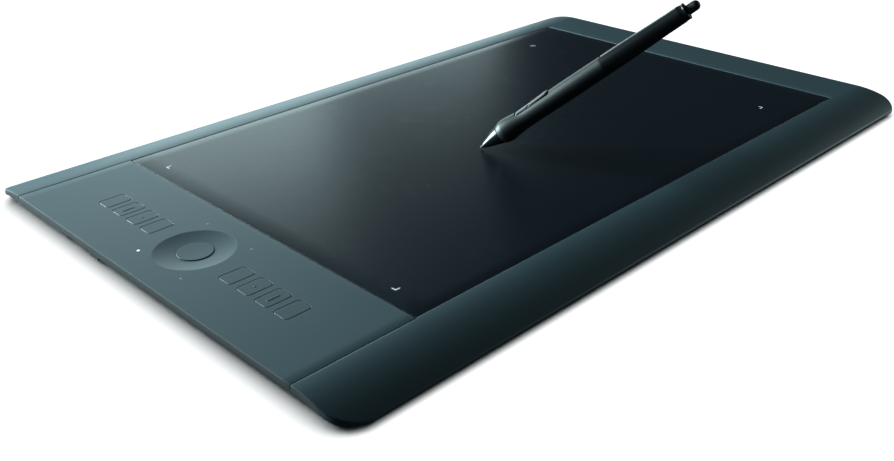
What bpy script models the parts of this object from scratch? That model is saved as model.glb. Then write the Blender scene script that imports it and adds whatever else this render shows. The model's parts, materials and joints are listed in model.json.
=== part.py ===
"""Pen drawing tablet with its battery-free pen, as an assembly of separate pieces.

Frame: origin at the centre of the footprint on the surface that the feet stand on, +X along the
long side (the keys are at -X), +Y towards the far long side, +Z up through the drawing sheet.
Units are metres. Every size below is written once, and what fits to it is worked out from it.
"""

import math

import bmesh
import bpy
from mathutils import Matrix, Vector

MM = 0.001

# ---- overall sizes ---------------------------------------------------------------------------
WIDTH = 487 * MM
DEPTH = 318 * MM
HEIGHT = 12 * MM
CORNER_RADIUS = 16 * MM

# ---- fits ------------------------------------------------------------------------------------
GAP = 0.3 * MM
PARTING_GAP = 0.4 * MM
OVERCUT = 1 * MM

# ---- top cover -------------------------------------------------------------------------------
COVER_THICKNESS = 3.0 * MM
BAND_WIDTH = 32.7 * MM
CROWN_RADIUS = 76 * MM
RIM_ROUND = 1.6 * MM
EDGE_FILLET = 1.3 * MM
RIGHT_BAND_WIDTH = 36.2 * MM
SHEET_INSET = 0.55 * MM
SHEET_RECESS = 1.2 * MM
SHEET_THICKNESS = 0.75 * MM

# ---- marked drawing area ---------------------------------------------------------------------
ACTIVE_MARGIN_LEFT = 9.4 * MM
ACTIVE_MARGIN_RIGHT = 47.3 * MM
ACTIVE_MARGIN_SIDE = 24.15 * MM
MARKER_ARM = 3.4 * MM
MARKER_WIDTH = 1.0 * MM

# ---- key panel -------------------------------------------------------------------------------
PANEL_WIDTH = 68.3 * MM
KEY_LENGTH = 14.8 * MM
KEY_BREADTH = 10.05 * MM
KEY_CORNER = 1.9 * MM
KEY_PITCH = 14.68 * MM
FIRST_KEY = 37.0 * MM
KEYS_A_SIDE = 4
KEY_FLANGE = 0.9 * MM
KEY_FLANGE_THICKNESS = 0.6 * MM
KEY_TRAVEL = 0.45 * MM

RING_FROM_MIDDLE = 0.6 * MM
RING_RADIUS = 20.75 * MM
RING_DEPTH = 1.5 * MM
RING_BUTTON_RADIUS = 9.25 * MM
RING_BUTTON_DROP = 0.85 * MM
RING_BUTTON_FLANGE = 1.75 * MM
RING_BUTTON_TRAVEL = 0.5 * MM
LIGHT_OFFSET = 20 * MM
LIGHT_RADIUS = 0.75 * MM
LIGHT_LENGTH = 4.2 * MM

# ---- bottom tray -----------------------------------------------------------------------------
FOOT_HEIGHT = 0.8 * MM
TRAY_FLOOR = 1.5 * MM
TRAY_WALL = 2.0 * MM
TRAY_INSET_TOP = 0.8 * MM
TRAY_INSET_BOTTOM = 5.0 * MM
TRAY_UPRIGHT = 2.5 * MM
FOOT_LENGTH = 70 * MM
FOOT_BREADTH = 12 * MM
FOOT_POCKET = 0.7 * MM
FOOT_EDGE = 14 * MM
FOOT_SIDE = 40 * MM

# ---- screws ----------------------------------------------------------------------------------
SCREW_HEAD_RADIUS = 2.0 * MM
SCREW_HEAD_HEIGHT = 0.6 * MM
SCREW_RADIUS = 1.0 * MM
SCREW_LENGTH = 5.2 * MM
BOSS_RADIUS = 2.8 * MM
BOSS_EDGE_X = 13 * MM
BOSS_EDGE_Y = 30 * MM

# ---- electronics -----------------------------------------------------------------------------
BOARD_THICKNESS = 0.8 * MM
BOARD_MARGIN = 7 * MM
SHIELD_THICKNESS = 0.5 * MM
KEY_BOARD_DROP = 5.9 * MM
KEY_BOARD_WIDTH = 30 * MM
DOME_RADIUS = 2.4 * MM
DOME_HEIGHT = 0.8 * MM
CONTROL_BOARD_SIZE = (86 * MM, 40 * MM)
CHIP_SIZE = (12 * MM, 12 * MM)
CHIP_HEIGHT = 0.9 * MM
CHIP_INSET = 11 * MM
CHIP_PITCH = 24 * MM
SOCKET_SIZE = (9.2 * MM, 7.7 * MM, 3.9 * MM)
SOCKET_WALL = 0.4 * MM
SOCKET_Y = 66 * MM
SOCKET_STANDOFF = 0.65 * MM
POWER_Y = 44 * MM
POWER_LENGTH = 9 * MM
POWER_HEIGHT = 2.4 * MM
POWER_REACH = 5.4 * MM
POWER_PROUD = 0.25 * MM
POWER_TRAVEL = 0.4 * MM

# ---- bays in the underside -------------------------------------------------------------------
BAY_COVER_THICKNESS = 0.7 * MM
BAY_COVER_LAP = 3 * MM
BAY_SLIDE = 6 * MM
GRIP_GROOVES = 3
GRIP_GROOVE_PITCH = 2 * MM
GRIP_GROOVE_LENGTH = 10 * MM
BATTERY_PLAN = (58 * MM, 38 * MM)
BATTERY_HEADROOM = 1.2 * MM
BATTERY_FROM_MODULE = 44 * MM
MODULE_PLAN = (34 * MM, 19 * MM)
MODULE_HEADROOM = 1.6 * MM
MODULE_FROM_KEY_BOARD = 27.35 * MM
BAYS_Y = 70 * MM

# ---- pen -------------------------------------------------------------------------------------
PEN_LENGTH = 154 * MM
PEN_LEAN = math.radians(38.05)
PEN_HEADING = math.radians(-58.25)
PEN_SWITCH_ROLL = math.radians(3.4)
PEN_TIP = (-18.7 * MM, -13.9 * MM)
PEN_HOVER = 0.3 * MM
PEN_WALL = 1.0 * MM
NIB_RADIUS = 0.8 * MM
NIB_TRAVEL = 0.5 * MM
NIB_LENGTH = 13 * MM
CONE_START = 2.2 * MM
CONE_END = 15.9 * MM
CONE_TIP_RADIUS = 1.3 * MM
CONE_RADIUS = 5.65 * MM
GRIP_FLARE_AT = 20.6 * MM
GRIP_FLARE_RADIUS = 7.1 * MM
GRIP_WAIST_AT = 36 * MM
GRIP_WAIST_RADIUS = 5.9 * MM
GRIP_SWELL_AT = 68 * MM
GRIP_SWELL_RADIUS = 6.05 * MM
GRIP_END = 92.5 * MM
BARREL_RADIUS = 5.9 * MM
BARREL_END = 143 * MM
BARREL_END_RADIUS = 5.05 * MM
BARREL_TUBE_RADIUS = 4.0 * MM
BARREL_BORE = 3.2 * MM
RING_LIP_RADIUS = 4.95 * MM
RING_WAIST_RADIUS = 4.75 * MM
RING_LIP_AT = 146.4 * MM
ERASER_RADIUS = 2.85 * MM
ERASER_ROOT = 134 * MM
ERASER_TRAVEL = 0.5 * MM
CORE_RADIUS = 2.6 * MM
CORE_START = 17 * MM
CORE_END = 126 * MM
SWITCH_START = 31.2 * MM
SWITCH_SPLIT = 41 * MM
SWITCH_END = 56 * MM
SWITCH_BREADTH = 5.8 * MM
SWITCH_TOP = 6.15 * MM
SWITCH_REAR_TOP = 6.8 * MM
SWITCH_FLOOR = 4.95 * MM
SWITCH_PIVOT_RADIUS = 5.4 * MM

# ---- places worked out from the sizes --------------------------------------------------------
TOP = HEIGHT
COVER_UNDERSIDE = TOP - COVER_THICKNESS
HALF_X = WIDTH / 2
HALF_Y = DEPTH / 2
FLAT_Y = HALF_Y - BAND_WIDTH
PANEL_LOW_X = -HALF_X
PANEL_HIGH_X = -HALF_X + PANEL_WIDTH
RING_X = (PANEL_LOW_X + PANEL_HIGH_X) / 2 + RING_FROM_MIDDLE
SHEET_LOW_X = PANEL_HIGH_X + GAP
SHEET_HIGH_X = HALF_X - RIGHT_BAND_WIDTH
SHEET_HALF_Y = FLAT_Y - SHEET_INSET
ACTIVE_LOW_X = SHEET_LOW_X + ACTIVE_MARGIN_LEFT
ACTIVE_HIGH_X = SHEET_HIGH_X - ACTIVE_MARGIN_RIGHT
ACTIVE_HALF_Y = SHEET_HALF_Y - ACTIVE_MARGIN_SIDE
TRAY_BOTTOM = FOOT_HEIGHT
TRAY_SHOULDER = COVER_UNDERSIDE - TRAY_UPRIGHT
TRAY_FLOOR_TOP = TRAY_BOTTOM + TRAY_FLOOR
CAVITY_INSET = TRAY_INSET_BOTTOM + TRAY_WALL
SHIELD_LOW = COVER_UNDERSIDE - GAP - BOARD_THICKNESS - GAP - SHIELD_THICKNESS
SOCKET_MIDDLE = TRAY_FLOOR_TOP + SOCKET_STANDOFF + SOCKET_SIZE[2] / 2
BAY_CONTENTS_LOW = TRAY_BOTTOM + BAY_COVER_THICKNESS + 2 * GAP
MODULE_X = RING_X + KEY_BOARD_WIDTH / 2 + MODULE_FROM_KEY_BOARD + MODULE_PLAN[0] / 2
BATTERY_X = MODULE_X + MODULE_PLAN[0] / 2 + BATTERY_FROM_MODULE + BATTERY_PLAN[0] / 2
SHEET_TOP = TOP - SHEET_RECESS + GAP + SHEET_THICKNESS
SWITCH_PIVOT_AT = (SWITCH_START + SWITCH_END) / 2

PARTS = "pen_tablet"
CUTTERS = "cutters"

# name: (colour, roughness, metallic)
FINISHES = {
    "satin_shell": ((0.055, 0.085, 0.098), 0.42, 0.0),
    "black_shell": ((0.012, 0.014, 0.016), 0.5, 0.0),
    "drawing_film": ((0.028, 0.036, 0.042), 0.38, 0.0),
    "key_plastic": ((0.05, 0.077, 0.089), 0.42, 0.0),
    "circuit_board": ((0.02, 0.13, 0.07), 0.5, 0.0),
    "sheet_steel": ((0.55, 0.56, 0.57), 0.35, 1.0),
    "clear_guide": ((0.82, 0.86, 0.88), 0.2, 0.0),
    "foot_rubber": ((0.02, 0.02, 0.02), 0.85, 0.0),
    "battery_wrap": ((0.1, 0.1, 0.11), 0.5, 0.0),
    "pen_gloss": ((0.01, 0.013, 0.015), 0.22, 0.0),
    "pen_rubber": ((0.012, 0.016, 0.018), 0.48, 0.0),
    "nib_plastic": ((0.03, 0.03, 0.03), 0.4, 0.0),
}


def clear_scene():
    for obj in list(bpy.data.objects):
        bpy.data.objects.remove(obj)
    for name in (PARTS, CUTTERS):
        collection = bpy.data.collections.new(name)
        bpy.context.scene.collection.children.link(collection)


def finish(name):
    """The Principled material of that name, made on its first use."""
    material = bpy.data.materials.get(name)
    if material:
        return material
    colour, roughness, metallic = FINISHES[name]
    material = bpy.data.materials.new(name)
    material.use_nodes = True
    shader = material.node_tree.nodes["Principled BSDF"]
    shader.inputs["Base Color"].default_value = (*colour, 1)
    shader.inputs["Roughness"].default_value = roughness
    shader.inputs["Metallic"].default_value = metallic
    return material


def add_object(name, mesh, material=None):
    """Links the mesh as a part, or as a cutter when it has no material."""
    obj = bpy.data.objects.new(name, mesh)
    bpy.data.collections[PARTS if material else CUTTERS].objects.link(obj)
    if material:
        mesh.materials.append(finish(material))
        mesh.shade_smooth()
        mesh.set_sharp_from_angle(angle=math.radians(35))
    else:
        obj.hide_render = True
        obj.display_type = "WIRE"
    return obj


def mesh_from(name, shape):
    mesh = bpy.data.meshes.new(name)
    shape.to_mesh(mesh)
    shape.free()
    return mesh


def box_mesh(name, low, high, corner=0.0, segments=4):
    """A box from its two corners, its upright edges rounded to the radius corner."""
    shape = bmesh.new()
    size = Vector(high) - Vector(low)
    middle = (Vector(high) + Vector(low)) / 2
    bmesh.ops.create_cube(shape, size=1, matrix=Matrix.Translation(middle) @ Matrix.Diagonal((*size, 1)))
    if corner:
        upright = [edge for edge in shape.edges if abs((edge.verts[0].co - edge.verts[1].co).z) > size.z / 2]
        bmesh.ops.bevel(shape, geom=upright, offset=corner, segments=segments, affect="EDGES", profile=0.5)
    return mesh_from(name, shape)


def cylinder_mesh(name, radius, low, high, centre=(0, 0), sides=20, top_radius=None):
    """An upright cylinder between two heights, or a cone when top_radius differs."""
    shape = bmesh.new()
    place = Matrix.Translation((centre[0], centre[1], (low + high) / 2))
    bmesh.ops.create_cone(
        shape,
        cap_ends=True,
        segments=sides,
        radius1=radius,
        radius2=radius if top_radius is None else top_radius,
        depth=high - low,
        matrix=place,
    )
    return mesh_from(name, shape)


def outline_mesh(name, points, length):
    """A flat outline filled and extruded by length, half to each side, as a welded mesh."""
    data = bpy.data.curves.new(name, "CURVE")
    data.dimensions = "2D"
    data.fill_mode = "BOTH"
    data.extrude = length / 2
    spline = data.splines.new("POLY")
    spline.points.add(len(points) - 1)
    for point, (across, up) in zip(spline.points, points):
        point.co = (across, up, 0, 1)
    spline.use_cyclic_u = True
    guide = bpy.data.objects.new(name + "_guide", data)
    bpy.data.collections[CUTTERS].objects.link(guide)
    bpy.context.view_layer.update()
    graph = bpy.context.evaluated_depsgraph_get()
    mesh = bpy.data.meshes.new_from_object(guide.evaluated_get(graph))
    bpy.data.objects.remove(guide)
    shape = bmesh.new()
    shape.from_mesh(mesh)
    bmesh.ops.remove_doubles(shape, verts=shape.verts, dist=1e-6)
    bmesh.ops.recalc_face_normals(shape, faces=shape.faces)
    shape.to_mesh(mesh)
    shape.free()
    return mesh


def boolean(obj, cutter, operation="DIFFERENCE"):
    modifier = obj.modifiers.new(operation.lower() + "_" + cutter.name, "BOOLEAN")
    modifier.operation = operation
    modifier.solver = "EXACT"
    modifier.object = cutter
    return modifier


def cut_box(obj, name, low, high, corner=0.0, segments=4):
    return boolean(obj, add_object(name, box_mesh(name, low, high, corner, segments)))


def cut_cylinder(obj, name, radius, low, high, centre, sides=20):
    return boolean(obj, add_object(name, cylinder_mesh(name, radius, low, high, centre, sides)))


def turned(name, profile, material=None, steps=32):
    """A solid of revolution about its own Z from (radius, height) points that run top to bottom.

    A profile that starts and ends on the axis closes there. Any other is closed on itself, as a ring.
    """
    on_axis = profile[0][0] == 0 and profile[-1][0] == 0
    edges = [(i, i + 1) for i in range(len(profile) - 1)]
    if not on_axis:
        edges.append((len(profile) - 1, 0))
    mesh = bpy.data.meshes.new(name)
    mesh.from_pydata([(radius, 0, height) for radius, height in profile], edges, [])
    obj = add_object(name, mesh, material)
    screw = obj.modifiers.new("turn", "SCREW")
    screw.axis = "Z"
    screw.angle = math.tau
    screw.steps = screw.render_steps = steps
    screw.use_merge_vertices = True
    screw.merge_threshold = 1e-6
    screw.use_smooth_shade = True
    return obj


# ---- the shape that the cover, the panel and the tray share ------------------------------------
def crown_arc(offset, steps=8):
    """Points of the far band's arc, from the flat outwards, offset inwards from the top surface."""
    sweep = math.asin((BAND_WIDTH - RIM_ROUND) / (CROWN_RADIUS - RIM_ROUND))
    radius = CROWN_RADIUS - offset
    centre = TOP - CROWN_RADIUS
    angles = [sweep * i / steps for i in range(steps + 1)]
    return [(FLAT_Y + radius * math.sin(a), centre + radius * math.cos(a)) for a in angles]


def rim_arc(steps=5):
    """The round-over from the band's arc to the upright at the outermost line of the long sides."""
    sweep = math.asin((BAND_WIDTH - RIM_ROUND) / (CROWN_RADIUS - RIM_ROUND))
    middle_y = FLAT_Y + (CROWN_RADIUS - RIM_ROUND) * math.sin(sweep)
    middle_z = TOP - CROWN_RADIUS + (CROWN_RADIUS - RIM_ROUND) * math.cos(sweep)
    angles = [sweep + (math.pi / 2 - sweep) * i / steps for i in range(1, steps + 1)]
    return [(middle_y + RIM_ROUND * math.sin(a), middle_z + RIM_ROUND * math.cos(a)) for a in angles]


def inner_arc(offset, lip_height):
    """The band's arc, offset inwards, down to the point where it meets the lip's height."""
    points = [point for point in crown_arc(offset) if point[1] > lip_height + 0.2 * MM]
    angle = math.acos((lip_height - TOP + CROWN_RADIUS) / (CROWN_RADIUS - offset))
    return [*points, (FLAT_Y + (CROWN_RADIUS - offset) * math.sin(angle), lip_height)]


def cover_section():
    """The cover's section across the tablet: a slab of even thickness whose long sides fall away."""
    rim = rim_arc()
    far = crown_arc(0) + rim + inner_arc(COVER_THICKNESS, rim[-1][1])[::-1]
    return far + [(-across, up) for across, up in far[::-1]]


def under_cover_section():
    """The space below the cover, a parting gap away from its underside, down past the floor."""
    lip_height = rim_arc()[-1][1] - PARTING_GAP
    inner = inner_arc(COVER_THICKNESS + PARTING_GAP, lip_height)
    far = inner + [(HALF_Y + OVERCUT, lip_height), (HALF_Y + OVERCUT, -OVERCUT)]
    return far + [(-across, up) for across, up in far[::-1]]


def section_object(name, points, material=None):
    """The section laid across the tablet and extruded along X."""
    mesh = outline_mesh(name, points, WIDTH + 2 * OVERCUT)
    mesh.transform(Matrix(((0, 0, 1, 0), (1, 0, 0, 0), (0, 1, 0, 0), (0, 0, 0, 1))))
    return add_object(name, mesh, material)


def footprint_object(name):
    """The tablet's outline with its rounded corners and its filleted top edge."""
    shape = bmesh.new()
    low = Vector((-HALF_X, -HALF_Y - 0.02 * MM, -OVERCUT))
    high = Vector((HALF_X, HALF_Y + 0.02 * MM, TOP))
    size = high - low
    place = Matrix.Translation((high + low) / 2) @ Matrix.Diagonal((*size, 1))
    bmesh.ops.create_cube(shape, size=1, matrix=place)
    upright = [edge for edge in shape.edges if abs((edge.verts[0].co - edge.verts[1].co).z) > size.z / 2]
    bmesh.ops.bevel(shape, geom=upright, offset=CORNER_RADIUS, segments=10, affect="EDGES", profile=0.5)
    upper = [edge for edge in shape.edges if all(abs(v.co.z - TOP) < 1e-6 for v in edge.verts)]
    bmesh.ops.bevel(shape, geom=upper, offset=EDGE_FILLET, segments=3, affect="EDGES", profile=0.5)
    bmesh.ops.recalc_face_normals(shape, faces=shape.faces)
    return add_object(name, mesh_from(name, shape))


def boss_places():
    """Where the cover's screw bosses stand: three along each long side."""
    across = HALF_X - BOSS_EDGE_X
    along = HALF_Y - BOSS_EDGE_Y
    return [(x, y) for y in (-along, along) for x in (-across, 0, across)]


# ---- shells ----------------------------------------------------------------------------------
def make_top_cover(footprint):
    cover = section_object("top_cover", cover_section(), "satin_shell")
    boolean(cover, footprint, "INTERSECT")
    reach = HALF_X + OVERCUT
    cut_box(
        cover,
        "panel_window",
        (-reach, -FLAT_Y, -OVERCUT),
        (PANEL_HIGH_X + GAP, FLAT_Y, TOP + OVERCUT),
    )
    cut_box(
        cover,
        "sheet_window",
        (SHEET_LOW_X - OVERCUT, -SHEET_HALF_Y, TOP - SHEET_RECESS),
        (SHEET_HIGH_X, SHEET_HALF_Y, TOP + OVERCUT),
    )
    for number, (x, y) in enumerate(boss_places(), 1):
        name = f"boss_{number}"
        low = TRAY_FLOOR_TOP + GAP
        boolean(
            cover,
            add_object(name, cylinder_mesh(name, BOSS_RADIUS, low, COVER_UNDERSIDE - 0.2 * MM, (x, y), 16)),
            "UNION",
        )
        hole_top = TRAY_BOTTOM + SCREW_LENGTH + GAP + 0.2 * MM
        cut_cylinder(cover, f"boss_hole_{number}", SCREW_RADIUS + GAP, 0, hole_top, (x, y), 12)
    for number, (x, y, turn_x, turn_y) in enumerate(marker_corners(), 1):
        name = f"marker_slot_{number}"
        slot = marker_mesh(name, x, y, turn_x, turn_y, GAP, 0, TOP - SHEET_RECESS + OVERCUT)
        boolean(cover, add_object(name, slot))
    return cover


def make_key_panel(footprint):
    low = (PANEL_LOW_X - OVERCUT, -FLAT_Y + PARTING_GAP, COVER_UNDERSIDE)
    high = (PANEL_HIGH_X, FLAT_Y - PARTING_GAP, TOP + OVERCUT)
    panel = add_object("key_panel", box_mesh("key_panel", low, high), "satin_shell")
    boolean(panel, footprint, "INTERSECT")
    for number, y in enumerate(key_places(), 1):
        cut_box(
            panel,
            f"key_window_{number}",
            (RING_X - KEY_LENGTH / 2 - GAP, y - KEY_BREADTH / 2 - GAP, 0),
            (RING_X + KEY_LENGTH / 2 + GAP, y + KEY_BREADTH / 2 + GAP, TOP + OVERCUT),
            KEY_CORNER + GAP,
        )
    cut_cylinder(panel, "ring_window", RING_RADIUS, 0, TOP + OVERCUT, (RING_X, 0), 48)
    for number, (x, y) in enumerate(light_places(), 1):
        cut_cylinder(panel, f"light_hole_{number}", LIGHT_RADIUS + GAP, 0, TOP + OVERCUT, (x, y), 12)
    return panel


def make_drawing_sheet():
    low = (SHEET_LOW_X + GAP, -SHEET_HALF_Y + GAP, TOP - SHEET_RECESS + GAP)
    high = (SHEET_HIGH_X - GAP, SHEET_HALF_Y - GAP, SHEET_TOP)
    return add_object("drawing_sheet", box_mesh("drawing_sheet", low, high, 0.8 * MM, 2), "drawing_film")


def tray_body_mesh(name):
    """The tray's outside: the footprint's outline, upright to its shoulder and set in more at the bottom."""
    shape = bmesh.new()
    height = COVER_UNDERSIDE - TRAY_BOTTOM
    place = Matrix.Translation((0, 0, TRAY_BOTTOM + height / 2)) @ Matrix.Diagonal((WIDTH, DEPTH, height, 1))
    bmesh.ops.create_cube(shape, size=1, matrix=place)
    upright = [edge for edge in shape.edges if abs((edge.verts[0].co - edge.verts[1].co).z) > height / 2]
    bmesh.ops.bevel(shape, geom=upright, offset=CORNER_RADIUS, segments=8, affect="EDGES", profile=0.5)
    whole = [*shape.verts, *shape.edges, *shape.faces]
    bmesh.ops.bisect_plane(shape, geom=whole, plane_co=(0, 0, TRAY_SHOULDER), plane_no=(0, 0, 1))
    for vert in shape.verts:
        inset = TRAY_INSET_BOTTOM if vert.co.z < TRAY_BOTTOM + height / 4 else TRAY_INSET_TOP
        vert.co.x *= (HALF_X - inset) / HALF_X
        vert.co.y *= (HALF_Y - inset) / HALF_Y
    return mesh_from(name, shape)


def bays():
    """(name, centre, contents' size) of each bay that opens through the tray's floor.

    The contents are as thick as the room up to the shield allows, less their headroom.
    """
    room = SHIELD_LOW - BAY_CONTENTS_LOW
    return [
        ("battery", (BATTERY_X, BAYS_Y), (*BATTERY_PLAN, room - BATTERY_HEADROOM)),
        ("module", (MODULE_X, BAYS_Y), (*MODULE_PLAN, room - MODULE_HEADROOM)),
    ]


def make_bottom_tray():
    tray = add_object("bottom_tray", tray_body_mesh("bottom_tray"), "black_shell")
    boolean(tray, section_object("under_cover", under_cover_section()), "INTERSECT")
    cut_box(
        tray,
        "tray_cavity",
        (-HALF_X + CAVITY_INSET, -HALF_Y + CAVITY_INSET, TRAY_FLOOR_TOP),
        (HALF_X - CAVITY_INSET, HALF_Y - CAVITY_INSET, TOP),
        CORNER_RADIUS - CAVITY_INSET / 2,
    )
    for number, (x, y) in enumerate(boss_places(), 1):
        cut_cylinder(tray, f"screw_hole_{number}", SCREW_RADIUS + GAP, 0, TRAY_FLOOR_TOP + OVERCUT, (x, y), 12)
        head_room = TRAY_BOTTOM + SCREW_HEAD_HEIGHT + GAP
        cut_cylinder(tray, f"screw_seat_{number}", SCREW_HEAD_RADIUS + GAP, 0, head_room, (x, y), 16)
    for number, (x, y) in enumerate(foot_places(), 1):
        cut_box(
            tray,
            f"foot_pocket_{number}",
            (x - FOOT_LENGTH / 2 - GAP, y - FOOT_BREADTH / 2 - GAP, 0),
            (x + FOOT_LENGTH / 2 + GAP, y + FOOT_BREADTH / 2 + GAP, TRAY_BOTTOM + FOOT_POCKET),
            FOOT_BREADTH / 2,
        )
    for name, (x, y), size in bays():
        half_x, half_y = size[0] / 2 + GAP, size[1] / 2 + GAP
        bay_top = TRAY_FLOOR_TOP + OVERCUT
        cut_box(tray, f"{name}_bay", (x - half_x, y - half_y, 0), (x + half_x, y + half_y, bay_top))
        lap_x, lap_y = half_x + BAY_COVER_LAP + GAP, half_y + BAY_COVER_LAP + GAP
        cut_box(
            tray,
            f"{name}_cover_pocket",
            (x - lap_x, y - lap_y, 0),
            (x + lap_x + BAY_SLIDE, y + lap_y, TRAY_BOTTOM + BAY_COVER_THICKNESS + GAP),
            2 * MM,
        )
    low, high = socket_box()
    cut_box(
        tray,
        "socket_cut",
        (-HALF_X - OVERCUT, low[1] - GAP, low[2] - GAP),
        (-HALF_X + CAVITY_INSET + OVERCUT, high[1] + GAP, high[2] + GAP),
    )
    low, high = power_box()
    cut_box(
        tray,
        "power_cut",
        (-HALF_X - OVERCUT, low[1] - GAP, low[2] - GAP),
        (-HALF_X + CAVITY_INSET + OVERCUT, high[1] + GAP, high[2] + GAP),
    )
    return tray


def foot_places():
    across = HALF_X - FOOT_SIDE - FOOT_LENGTH / 2
    along = HALF_Y - FOOT_EDGE - FOOT_BREADTH / 2
    return [(x, y) for y in (-along, along) for x in (-across, across)]


def make_feet():
    for number, (x, y) in enumerate(foot_places(), 1):
        name = f"rubber_foot_{number}"
        low = (x - FOOT_LENGTH / 2, y - FOOT_BREADTH / 2, 0)
        high = (x + FOOT_LENGTH / 2, y + FOOT_BREADTH / 2, TRAY_BOTTOM + FOOT_POCKET - GAP)
        add_object(name, box_mesh(name, low, high, FOOT_BREADTH / 2 - GAP), "foot_rubber")


def make_screws():
    """A domed head below a plain shank; each stands in a boss of the cover."""
    for number, (x, y) in enumerate(boss_places(), 1):
        top = TRAY_BOTTOM + SCREW_LENGTH
        shoulder = TRAY_BOTTOM + SCREW_HEAD_HEIGHT
        profile = [
            (0, top),
            (SCREW_RADIUS, top),
            (SCREW_RADIUS, shoulder),
            (SCREW_HEAD_RADIUS, shoulder),
            (SCREW_HEAD_RADIUS, TRAY_BOTTOM + 0.2 * MM),
            (0.7 * SCREW_HEAD_RADIUS, TRAY_BOTTOM),
            (0, TRAY_BOTTOM),
        ]
        turned(f"cover_screw_{number}", profile, "sheet_steel", 16).location = (x, y, 0)


def make_bay_covers():
    """Each slides towards +X in its pocket to free it, with three grooves for a fingertip."""
    for name, (x, y), size in bays():
        half_x = size[0] / 2 + GAP + BAY_COVER_LAP
        half_y = size[1] / 2 + GAP + BAY_COVER_LAP
        low = (-half_x, -half_y, 0)
        high = (half_x, half_y, BAY_COVER_THICKNESS)
        cover = add_object(f"{name}_cover", box_mesh(f"{name}_cover", low, high, 2 * MM), "black_shell")
        cover.location = (x, y, TRAY_BOTTOM)
        groove_top = TRAY_BOTTOM + BAY_COVER_THICKNESS / 2
        for step in range(GRIP_GROOVES):
            groove_x = x + half_x - BAY_SLIDE - step * GRIP_GROOVE_PITCH
            cut_box(
                cover,
                f"{name}_groove_{step + 1}",
                (groove_x - GRIP_GROOVE_PITCH / 4, y - GRIP_GROOVE_LENGTH / 2, 0),
                (groove_x + GRIP_GROOVE_PITCH / 4, y + GRIP_GROOVE_LENGTH / 2, groove_top),
            )


# ---- keys, ring and lights ---------------------------------------------------------------------
def key_places():
    """The keys' centres across the tablet, from the nearest key to the farthest."""
    far = [FIRST_KEY + KEY_PITCH * step for step in range(KEYS_A_SIDE)]
    return [-y for y in far[::-1]] + far


def light_places():
    return [(RING_X + x, y) for y in (-LIGHT_OFFSET, LIGHT_OFFSET) for x in (-LIGHT_OFFSET, LIGHT_OFFSET)]


def make_keys():
    """Each key is a cap in its window on a wider flange that keeps it in from below."""
    flange_top = COVER_UNDERSIDE - GAP
    for number, y in enumerate(key_places(), 1):
        name = f"express_key_{number}"
        half_x, half_y = KEY_LENGTH / 2, KEY_BREADTH / 2
        cap = box_mesh(
            name,
            (-half_x, -half_y, flange_top - KEY_FLANGE_THICKNESS / 2),
            (half_x, half_y, TOP),
            KEY_CORNER,
            5,
        )
        key = add_object(name, cap, "key_plastic")
        flange = box_mesh(
            f"key_flange_{number}",
            (-half_x - KEY_FLANGE, -half_y - KEY_FLANGE, flange_top - KEY_FLANGE_THICKNESS),
            (half_x + KEY_FLANGE, half_y + KEY_FLANGE, flange_top),
            KEY_CORNER,
            3,
        )
        flange_object = add_object(f"key_flange_{number}", flange)
        boolean(key, flange_object, "UNION")
        key.location = flange_object.location = (RING_X, y, 0)


def dish_height(radius):
    """The ring's dish: a paraboloid that is RING_DEPTH deep at its middle and level at its rim."""
    return TOP - RING_DEPTH * (1 - (radius / RING_RADIUS) ** 2)


def make_touch_ring():
    inner = RING_BUTTON_RADIUS + GAP
    outer = RING_RADIUS - GAP
    steps = 6
    radii = [inner + (outer - inner) * i / steps for i in range(steps + 1)]
    profile = [(radius, dish_height(radius)) for radius in radii]
    profile += [(outer, COVER_UNDERSIDE), (inner, COVER_UNDERSIDE)]
    turned("touch_ring", profile, "key_plastic", 48).location = (RING_X, 0, 0)


def make_ring_button():
    flange = RING_BUTTON_RADIUS + RING_BUTTON_FLANGE
    flange_top = COVER_UNDERSIDE - GAP
    profile = [
        (0, TOP - RING_BUTTON_DROP),
        (RING_BUTTON_RADIUS, TOP - RING_BUTTON_DROP),
        (RING_BUTTON_RADIUS, flange_top),
        (flange, flange_top),
        (flange, flange_top - KEY_FLANGE_THICKNESS),
        (0, flange_top - KEY_FLANGE_THICKNESS),
    ]
    turned("ring_button", profile, "key_plastic", 40).location = (RING_X, 0, 0)


def make_lights():
    for number, (x, y) in enumerate(light_places(), 1):
        name = f"status_light_guide_{number}"
        mesh = cylinder_mesh(name, LIGHT_RADIUS, TOP - LIGHT_LENGTH, TOP, (x, y), 12)
        add_object(name, mesh, "clear_guide")


def marker_corners():
    """(x, y, way in along X, way in along Y) of the drawing area's four corner marks."""
    return [
        (x, y, turn_x, turn_y)
        for y, turn_y in ((-ACTIVE_HALF_Y, 1), (ACTIVE_HALF_Y, -1))
        for x, turn_x in ((ACTIVE_LOW_X, 1), (ACTIVE_HIGH_X, -1))
    ]


def marker_mesh(name, x, y, turn_x, turn_y, grow, low, high):
    """An upright L with its corner at x, y and its arms pointing into the drawing area."""
    arm, width = MARKER_ARM, MARKER_WIDTH
    points = [(-grow, -grow), (arm + grow, -grow), (arm + grow, width + grow)]
    points += [(width + grow, width + grow), (width + grow, arm + grow), (-grow, arm + grow)]
    mesh = outline_mesh(name, [(x + turn_x * a, y + turn_y * b) for a, b in points], high - low)
    mesh.transform(Matrix.Translation((0, 0, (high + low) / 2)))
    return mesh


def make_markers():
    """The light guides that shine through the sheet at the drawing area's corners."""
    top = TOP - SHEET_RECESS
    for number, (x, y, turn_x, turn_y) in enumerate(marker_corners(), 1):
        name = f"marker_light_guide_{number}"
        low = COVER_UNDERSIDE
        add_object(name, marker_mesh(name, x, y, turn_x, turn_y, 0, low, top), "clear_guide")


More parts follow.
